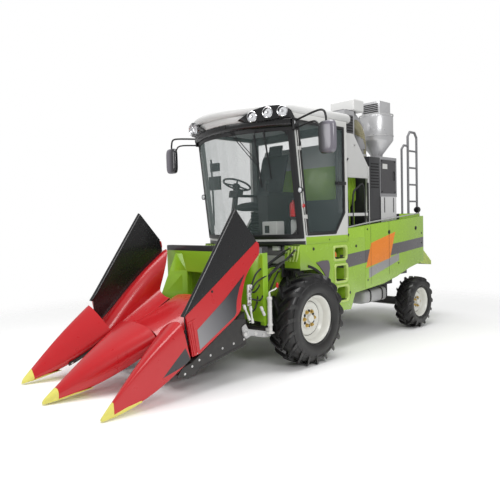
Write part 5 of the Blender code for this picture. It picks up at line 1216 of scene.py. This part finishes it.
for side, sign in SIDES:
    dress(f"{side}_front_body", side_paint, 0.006)
    dress(f"{side}_side_door", side_paint, 0.004)
    fixed(f"{side}_step_bracket", grey_bracket, "grey_paint", plate(BRACKET, sign * 0.8405, sign * 0.852),
          bevel=0.004)
    edges = [Vector((0, y, z - ARCH_Z)).normalized() * 0.016 for y, z in arch]
    fixed(f"{side}_arch_trim", rubber_seal, "black_plastic",
          ribbon([at(sign * 0.8455, y, z) for y, z in arch], edges, Vector((sign * 0.006, 0, 0))))
    fixed(f"{side}_body_bolts", steel_black, "black_steel",
          *[button(at(sign * BODY_FACE, y, z), 0.013, 0.006, (sign, 0, 0)) for y, z in BODY_BOLTS])

# ------------------------------------------------------------------ front beam
# The folded steel beam under the cab: bright and dark bands, slanted stiffening
# ribs on each fender's front, and a small white junction box.


def beam_pattern(shade, place, x, y, z):
    """A bare bright band over dark grey paint."""
    return blend(shade, (z > 1.130) * (z < 1.225), (0.075, 0.070, 0.078), (0.42, 0.41, 0.42))


dress("front_crossbeam", finish("beam_paint", (0.1, 0.1, 0.1), 0.35, pattern=beam_pattern, mottle=0.35, grain=0.15),
      0.004)
for side, sign in SIDES:
    # The ribs are in the paler lime, a painted highlight along them.
    ribs = [tube([at(sign * (x + lean), out, z) for lean, out, z in
                  ((0, -0.006, 1.165), (0.030, -0.010, 1.250), (0.045, -0.006, 1.345))], 0.011, 12, 3)
            for x in (0.640 + 0.048 * k for k in range(4))]
    fixed(f"{side}_fender_ribs", highlit_lime, "lime_paint", *ribs)
    shelf = [box_shape((sign * 0.600, sign * 0.838), (front, 0.0), levels)
             for front, levels in ((-0.012, (1.060, 1.085)), (-0.010, (1.352, 1.359)))]
    fixed(f"{side}_fender_edge", steel_black, "black_steel", *shelf, bevel=0.003)
fixed("junction_box", pale, "pale_paint", box_shape((0.430, 0.530), (-0.030, 0.012), (1.290, 1.345)), bevel=0.008,
      bevel_steps=3)
fixed("sill_strip", white, "pale_paint", box_shape((-0.800, 0.800), (0.088, 0.110), (1.362, 1.372)), bevel=0.003)

# ------------------------------------------------------------------ feeder
# The lime feeder throat between header and thresher: ribbed sheet sides,
# bolted flanges, a cast arm, and lift cylinders with bright rods.
dress("feeder_housing", lime, 0.004)
flanges = [box_shape((-0.506, 0.506), (y - 0.010, y + 0.010), (1.084, 1.098)) for y in (-0.520, -0.300, -0.080)]
flanges += [box_shape((sign * 0.5002, sign * 0.512), (y - 0.012, y + 0.012), levels) for side, sign in SIDES[::-1]
            for y, levels in ((-0.300, (0.640, 1.030)), (-0.180, (0.700, 1.040)))]
put("feeder_ribs", gather(*flanges), lime, "header", "lime_paint", bevel=0.003)
for side, sign in SIDES:
    dress(f"{side}_lift_barrel", steel_black, 0.003)
    dress(f"{side}_lift_rod", bright_steel, 0.002)
cast_grey = finish("light_grey_casting", (0.46, 0.46, 0.46), 0.40, mottle=0.35, mottle_size=0.08, grain=0.35,
                   grain_size=0.003)
CAST_ARM = ((-0.990, 0.560), (-0.975, 0.470), (-0.930, 0.430), (-0.860, 0.452), (-0.760, 0.425), (-0.660, 0.400),
            (-0.580, 0.395), (-0.548, 0.415), (-0.562, 0.448), (-0.640, 0.465), (-0.740, 0.490), (-0.840, 0.515),
            (-0.900, 0.530), (-0.935, 0.590))
ARM_INNER, ARM_OUTER = 0.8555, 0.880
put("header_cast_arm", plate(CAST_ARM, ARM_INNER, ARM_OUTER), cast_grey, "header", "grey_paint", bevel=0.012,
    bevel_steps=4)
BOSSES = ((-0.945, 0.500, 0.024), (-0.800, 0.468, 0.016), (-0.680, 0.435, 0.016), (-0.585, 0.422, 0.016))
put("cast_arm_bosses", gather(*[button(at(ARM_OUTER, y, z), radius, 0.014, (1, 0, 0), 24) for y, z, radius in BOSSES]),
    bright_steel, "header", "zinc")

# ------------------------------------------------------------------ hoses
# Black hydraulic hoses with zinc fittings and white couplers, from the header's
# side to the beam under the cab, with slack so that the header can lift.
hose_black = finish("hydraulic_hose", (0.012, 0.012, 0.013), 0.35, mottle=0.3, grain=0.4, grain_size=0.003)
HOSE_RADIUS = 0.0095
# Where each hose stands across the machine at its front and rear, then its run.
RUNS = (
    (0.872, 0.780, ((-0.865, 0.895), (-0.759, 0.996), (-0.617, 1.047), (-0.450, 1.080), (-0.200, 1.210),
                    (-0.020, 1.300))),
    (0.872, 0.740, ((-0.867, 0.847), (-0.695, 0.806), (-0.598, 0.895), (-0.480, 1.060), (-0.220, 1.180),
                    (-0.020, 1.240))),
    (0.874, 0.700, ((-0.850, 0.960), (-0.740, 1.090), (-0.600, 1.150), (-0.450, 1.190), (-0.200, 1.280),
                    (-0.020, 1.320))),
    (0.874, 0.660, ((-0.860, 0.920), (-0.760, 0.900), (-0.640, 0.960), (-0.500, 1.110), (-0.240, 1.150),
                    (-0.020, 1.190))),
    (0.872, 0.630, ((-0.870, 0.790), (-0.780, 0.700), (-0.680, 0.760), (-0.560, 0.960), (-0.380, 1.140),
                    (-0.020, 1.270))),
    (0.560, 0.545, ((-0.545, 0.800), (-0.400, 0.840), (-0.280, 0.930), (-0.160, 1.060), (-0.050, 1.120),
                    (-0.005, 1.150))),
    (0.540, 0.500, ((-0.548, 0.760), (-0.400, 0.700), (-0.250, 0.760), (-0.140, 0.900), (-0.050, 1.010),
                    (-0.005, 1.040))),
)
FRONT_FITTING = ((0, -0.014), (0.015, -0.014), (0.016, 0.004), (0.012, 0.026), (0, 0.026))
REAR_FITTING = ((0, -0.004), (0.012, -0.004), (0.016, 0.010), (0.015, 0.030), (0, 0.030))
for number, (x_front, x_rear, run) in enumerate(RUNS, 1):
    line = []
    for k, (y, z) in enumerate(run):
        share = k / (len(run) - 1)
        line.append(at(x_front + (x_rear - x_front) * share + 0.012 * math.sin(math.pi * share), y, z))
    hose = put(f"header_hose_{number}", tube(line, HOSE_RADIUS, 12, 8), hose_black, "header", "hose")
    hose.parent = None
    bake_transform(hose)
    put(f"hose_front_fitting_{number}", turned(FRONT_FITTING, line[0], line[1] - line[0], 12), bright_steel, "header",
        "zinc", sharp=50)
    fixed(f"hose_rear_fitting_{number}", bright_steel, "zinc",
          turned(REAR_FITTING, line[-1] - Vector((0, 0.008, 0)), (0, 1, 0), 12), sharp=50)
put("hose_block", box_shape((0.505, 0.640), (-0.600, -0.548), (0.720, 0.890)), steel_black, "header", "black_steel",
    bevel=0.006)
COUPLERS = (((-0.955, 0.787), (-0.875, 0.623)), ((-0.860, 0.765), (-0.832, 0.583)), ((-0.700, 0.736), (-0.650, 0.640)))
couplers = [box_shape((0.8552, 0.868), (-0.890, -0.840), (0.770, 0.990))]
for first, second in COUPLERS:
    start, stop = at(0.870, *first), at(0.870, *second)
    long = (stop - start).length
    profile = ((0, 0), (0.014, 0), (0.017, 0.012), (0.017, 0.045), (0.011, 0.052), (0.011, long - 0.05),
               (0.016, long - 0.045), (0.016, long), (0, long))
    couplers.append(turned(profile, start, (stop - start) / long, 18))
put("hose_couplers", gather(*couplers), white, "header", "pale_paint", sharp=50)

# ------------------------------------------------------------------ body and frame
# Painted sheet-steel body over a black welded frame and axles; the deck on
# top is black with a grey edge, and the straw hood is a paler lime.


def deck_pattern(shade, place, x, y, z):
    """Lime sides, and black over the deck."""
    return blend(shade, (z > 1.50) * (x * x < 0.80 ** 2), LIME, (0.022, 0.022, 0.024))


deck_paint = finish("deck_paint", LIME, 0.34, pattern=deck_pattern, mottle=0.25, grain=0.2, dust=0.05)
dark_grey = finish("dark_grey_steel", (0.070, 0.068, 0.072), 0.42, mottle=0.35, grain=0.25, dust=0.25)
hood_paint = finish("straw_hood_paint", (0.50, 0.66, 0.035), 0.28, coat=0.5, mottle=0.2, grain=0.05, dust=0.10)
for node, paint, bevel in (
        ("body_top", deck_paint, 0.005), ("thresher_housing", dark_grey, 0.005), ("chassis_frame", steel_black, 0.005),
        ("front_axle", steel_black, 0.006), ("rear_axle_beam", steel_black, 0.006),
        ("left_knuckle", steel_black, 0.004), ("right_knuckle", steel_black, 0.004), ("tie_rod", bright_steel, 0.002),
        ("straw_hood", hood_paint, 0.006)):
    dress(node, paint, bevel)
DECK_EDGE = ((0.960, 1.530), (1.500, 1.588), (2.880, 1.703))
fixed("deck_edge_rail", cast_grey, "grey_paint",
      *[tube([at(sign * 0.800, y, z) for y, z in DECK_EDGE], 0.010, 10) for side, sign in SIDES[::-1]])
HOOD_SLOPE = ((2.990, 1.352), (3.270, 1.142), (3.520, 0.960))
fixed("straw_hood_ribs", lime, "lime_paint",
      *[tube([at(-0.500 + 0.250 * k, y, z) for y, z in HOOD_SLOPE], 0.010, 10) for k in range(5)])
SEAMS = ((1.480, 0.760, 1.540), (1.945, 0.850, 1.590))
LATCHES = ((1.947, 1.444), (2.700, 1.480))
DOOR_SCREWS = ((1.400, 1.500), (1.400, 0.820), (2.200, 0.990), (2.880, 1.400), (2.880, 1.250))
for side, sign in SIDES:
    seams = [ribbon([at(sign * 0.8406, y, z) for z in levels], Vector((0, 0.0025, 0)), Vector((sign * 0.0008, 0, 0)))
             for y, *levels in SEAMS]
    put(f"{side}_door_seams", gather(*seams), shadow, f"{side}_side_door", "black_plastic")
    heads = [button(at(sign * 0.840, y, z), radius, rise, (sign, 0, 0), sides)
             for places, radius, rise, sides in ((LATCHES, 0.020, 0.010, 20), (DOOR_SCREWS, 0.009, 0.005, 14))
             for y, z in places]
    put(f"{side}_door_latches", gather(*heads), steel_black, f"{side}_side_door", "black_steel")

# ------------------------------------------------------------------ fuel tank
# A pale blow-moulded tank with round edges, held by two steel straps that
# stand a little proud of it.
low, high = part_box("fuel_tank")
centre = (low + high) / 2
rings = []
for y, inset in ((low.y, 0.060), (low.y + 0.012, 0.022), (low.y + 0.040, 0.004), (high.y - 0.040, 0.004),
                 (high.y - 0.012, 0.022), (high.y, 0.060)):
    half_x, half_z = (high.x - low.x) / 2 - inset, (high.z - low.z) / 2 - inset * 0.6
    ring = []
    for c, s in ((math.cos(2 * math.pi * k / 36), math.sin(2 * math.pi * k / 36)) for k in range(36)):
        ring.append((centre.x + half_x * math.copysign(abs(c) ** 0.5, c), y,
                     centre.z + half_z * math.copysign(abs(s) ** 0.5, s)))
    rings.append(ring)
straps = [loft([[(x + (0.002 if x > 0.5 else -0.002), y + along, z) for x, _, z in rings[2]]
                for along in (-0.018, 0.018)]) for y in (low.y + 0.140, high.y - 0.140)]
fixed("fuel_tank_moulding", cast_grey, "grey_paint", loft(rings), replaces=["fuel_tank"], sharp=50)
fixed("fuel_tank_straps", steel_black, "black_steel", *straps)

# ------------------------------------------------------------------ grain tank
# A pale folded-steel frame and tank behind the cab, over a lime lower box with
# pressed ribs, with zinc bolts and black grab rails.


def tank_pattern(shade, place, x, y, z):
    """Pale panels over a lime lower box."""
    return blend(shade, z < 2.340, (0.52, 0.52, 0.51), LIME)


tank_paint = finish("grain_tank_paint", (0.5, 0.5, 0.5), 0.32, coat=0.3, pattern=tank_pattern, mottle=0.25, grain=0.08)
dress("grain_tank", tank_paint, 0.006)
dress("sampling_rack", finish("rack_paint", (0.55, 0.55, 0.54), 0.33, coat=0.3, mottle=0.2, grain=0.08), 0.005)
fixed("grab_rails", steel_black, "black_steel",
      tube([at(0.790, 0.990, 1.560), at(0.794, 0.990, 2.300), at(0.794, 1.040, 2.420)], 0.014, 12, 4),
      tube([at(0.792, 1.500, 1.560), at(0.792, 1.500, 2.120)], 0.014, 12),
      tube([at(0.792, 1.140, 1.560), at(0.794, 1.150, 1.950), at(0.794, 1.250, 2.050), at(0.792, 1.400, 2.070),
            at(0.792, 1.420, 1.560)], 0.012, 12, 4))
fixed("tank_ribs", lime, "lime_paint", *[box_shape((0.598, 0.606), (y - 0.012, y + 0.012), (1.560, 2.300))
                                         for y in (1.100, 1.220, 1.340, 1.440)], bevel=0.003)
RACK_BOLTS = ((1.010, 2.680), (1.010, 2.400), (1.500, 2.200), (1.200, 2.600), (1.010, 1.900), (1.500, 1.750))
fixed("rack_bolts", bright_steel, "zinc", *[button(at(0.8002, y, z), 0.009, 0.005) for y, z in RACK_BOLTS])

# ------------------------------------------------------------------ intake duct
# A grey air box at the roof's rear and a clear yellowish wire-wound hose that
# feeds the cyclone, with a white filter box on two feet.
duct_grey = finish("duct_grey", (0.36, 0.36, 0.37), 0.30, coat=0.4, mottle=0.4, grain=0.1)
hose_clear = finish("clear_yellow_hose", (0.42, 0.38, 0.20), 0.18, coat=0.8, mottle=0.5, mottle_size=0.05)
dress("intake_duct", duct_grey, 0.010, 40, 3)
fixed("duct_lid", dark_grey, "grey_paint", box_shape((0.325, 0.695), (1.110, 1.295), (3.058, 3.072)),
      box_shape((0.716, 0.724), (1.130, 1.280), (2.760, 3.000)), bevel=0.004)
# The grille's dark bars are painted shade in the slots of the air box.
fixed("duct_grille", shadow, "black_plastic",
      *[box_shape((0.722, 0.729), (1.140, 1.270), (2.790 + 0.035 * k, 2.806 + 0.035 * k)) for k in range(6)])
hose_line = smooth_line([at(0.560, 1.330, 2.960), at(0.570, 1.460, 2.960), at(0.580, 1.590, 2.880),
                         at(0.575, 1.660, 2.740), at(0.565, 1.690, 2.620), at(0.560, 1.690, 2.500)], 6)


def round_hose(section, k):
    """A ring of the given section round the clear hose at its k-th place."""
    return turned(section, hose_line[k], (hose_line[k + 1] - hose_line[k - 1]).normalized(), 28)


last = len(hose_line) - 2
fixed("clear_hose", hose_clear, "hose", tube(hose_line, 0.074, 28))
fixed("hose_winding", dark_grey, "grey_paint",
      *[round_hose(((0.073, -0.004), (0.079, 0), (0.073, 0.004)), k) for k in range(2, last)])
fixed("hose_clamps", bright_steel, "zinc",
      *[round_hose(((0.074, -0.012), (0.083, -0.012), (0.083, 0.012), (0.074, 0.012)), k) for k in (1, last)])
fixed("roof_filter_box", white, "pale_paint", box_shape((0.320, 0.700), (1.330, 1.580), (3.080, 3.240)), bevel=0.020,
      bevel_steps=3)
fixed("roof_filter_feet", dark_grey, "grey_paint",
      *[box_shape((x, x + 0.030), (1.200, 1.420), (3.055, 3.085)) for x in (0.350, 0.640)], bevel=0.003)

# ------------------------------------------------------------------ cabinets
# A black control box, a light-grey cabinet with a darker door and a blank
# plate, and a white tank under it.


def cabinet_pattern(shade, place, x, y, z):
    """Black front box, grey cabinet and white tank by place."""
    back = y - AXLE_Y
    body = blend(shade, z < 1.944, (0.30, 0.30, 0.31), (0.60, 0.60, 0.60))
    return blend(shade, back < 1.827, body, (0.030, 0.030, 0.033))


cabinet_paint = finish("cabinet_paint", (0.4, 0.4, 0.4), 0.38, coat=0.2, pattern=cabinet_pattern, mottle=0.25,
                       grain=0.1)
dress("service_cabinets", cabinet_paint, 0.008, 30, 3)
fixed("cabinet_door", dark_grey, "grey_paint", box_shape((0.769, 0.778), (1.860, 2.250), (1.990, 2.460)), bevel=0.005)
fixed("cabinet_plate", pale, "pale_paint", box_shape((0.777, 0.782), (1.900, 2.020), (2.330, 2.400)), bevel=0.001)
handle = tube([at(x, 2.200, z) for x, z in ((0.777, 2.180), (0.7885, 2.190), (0.7885, 2.290), (0.777, 2.300))],
              0.007, 10, 3)
screws = [turned([(0, 0), (0.011, 0), (0.011, 0.006), (0, 0.008)], at(0.778, y, z), (1, 0, 0), 16)
          for y, z in ((1.880, 2.440), (2.230, 2.440), (1.880, 2.010), (2.230, 2.010))]
fixed("cabinet_handle", steel_black, "black_steel", handle, *screws)
# The vents are dark bars of painted shade in the box's slots.
fixed("control_box_vents", shadow, "black_plastic",
      *[box_shape((0.779, 0.7845), (1.600, 1.790), (2.060 + 0.040 * k, 2.076 + 0.040 * k)) for k in range(9)],
      bevel=0.002)
fixed("white_tank_bands", dark_grey, "grey_paint",
      *[box_shape((0.7885, 0.7915), (y - 0.012, y + 0.012), (1.720, 1.930)) for y in (1.920, 2.160)])

# ------------------------------------------------------------------ cyclone
# A spun aluminium cyclone: a flanged drum, a cone and neck, and a tilted
# light-grey top box with a louvre whose dark bars are painted shade.
silver = finish("spun_aluminium", (0.62, 0.62, 0.63), 0.30, metal=0.55, mottle=0.3, grain=0.1, grain_size=0.01)
dress("cyclone", silver, 0.004, 35)
CYCLONE_X, CYCLONE_Y = 0.540, 2.130
BOLT_RING, BOLT_COUNT = 0.233, 16
flanges = [turned([(radius - 0.012, -0.008), (radius, -0.008), (radius, 0.008), (radius - 0.012, 0.008)],
                  (CYCLONE_X, min(CYCLONE_Y + AXLE_Y, 1.7149), z), (0, 0, 1), 48)
           for z, radius in ((3.112, 0.246), (2.816, 0.246), (2.526, 0.080))]
fixed("cyclone_flanges", cast_grey, "grey_paint", *flanges, sharp=40)
bolts = [button(at(CYCLONE_X + BOLT_RING * math.cos(a), CYCLONE_Y + BOLT_RING * math.sin(a), 2.827), 0.006, 0.005,
                (0, 0, 1), 8) for a in (2 * math.pi * k / BOLT_COUNT for k in range(BOLT_COUNT))]
fixed("cyclone_bolts", steel_black, "black_steel", *bolts)
# The louvre's dark bars paint the shade between its blades.
fixed("cyclone_louvre", shadow, "black_plastic",
      *[box_shape((0.420, 0.660), (1.985, 2.000), (3.150 + 0.026 * k, 3.164 + 0.026 * k)) for k in range(5)])

# ------------------------------------------------------------------ engine and ladder
# The engine under its hood on the right, with a cooling screen, tubular rails
# with rungs at the rear corner of the deck, and a rear lamp on each side.
dress("engine_block", dark_grey, 0.008)
dress("rear_ladder", finish("handrail_grey", (0.20, 0.20, 0.21), 0.35, mottle=0.3, grain=0.1), 0.0)
# The screen's dark bands paint the shade behind its openings.
fixed("engine_screen", shadow, "black_plastic",
      *[box_shape((-0.600, 0.080), (1.7445, 1.7495), (1.640 + 0.050 * k, 1.655 + 0.050 * k)) for k in range(13)])
fixed("engine_lid", cast_grey, "grey_paint", box_shape((-0.560, 0.040), (1.800, 2.200), (2.3495, 2.358)), bevel=0.004)
bodies, lenses = [], []
for side, sign in SIDES:
    centre = at(sign * 0.780, 2.860, 1.755)
    bodies += [turned([(0, -0.030), (0.040, -0.026), (0.048, 0.010), (0.048, 0.022), (0, 0.022)], centre,
                      (0, 1, 0), 24),
               tube([centre - Vector((0, 0, 0.070)), centre], 0.010, 10)]
    lenses.append(turned([(0, 0.020), (0.042, 0.020), (0.040, 0.028), (0, 0.032)], centre, (0, 1, 0), 24))
fixed("rear_lamp_bodies", glossy_black, "black_plastic", *bodies)
fixed("rear_lamp_lenses", red_glass, "reflector", *lenses)
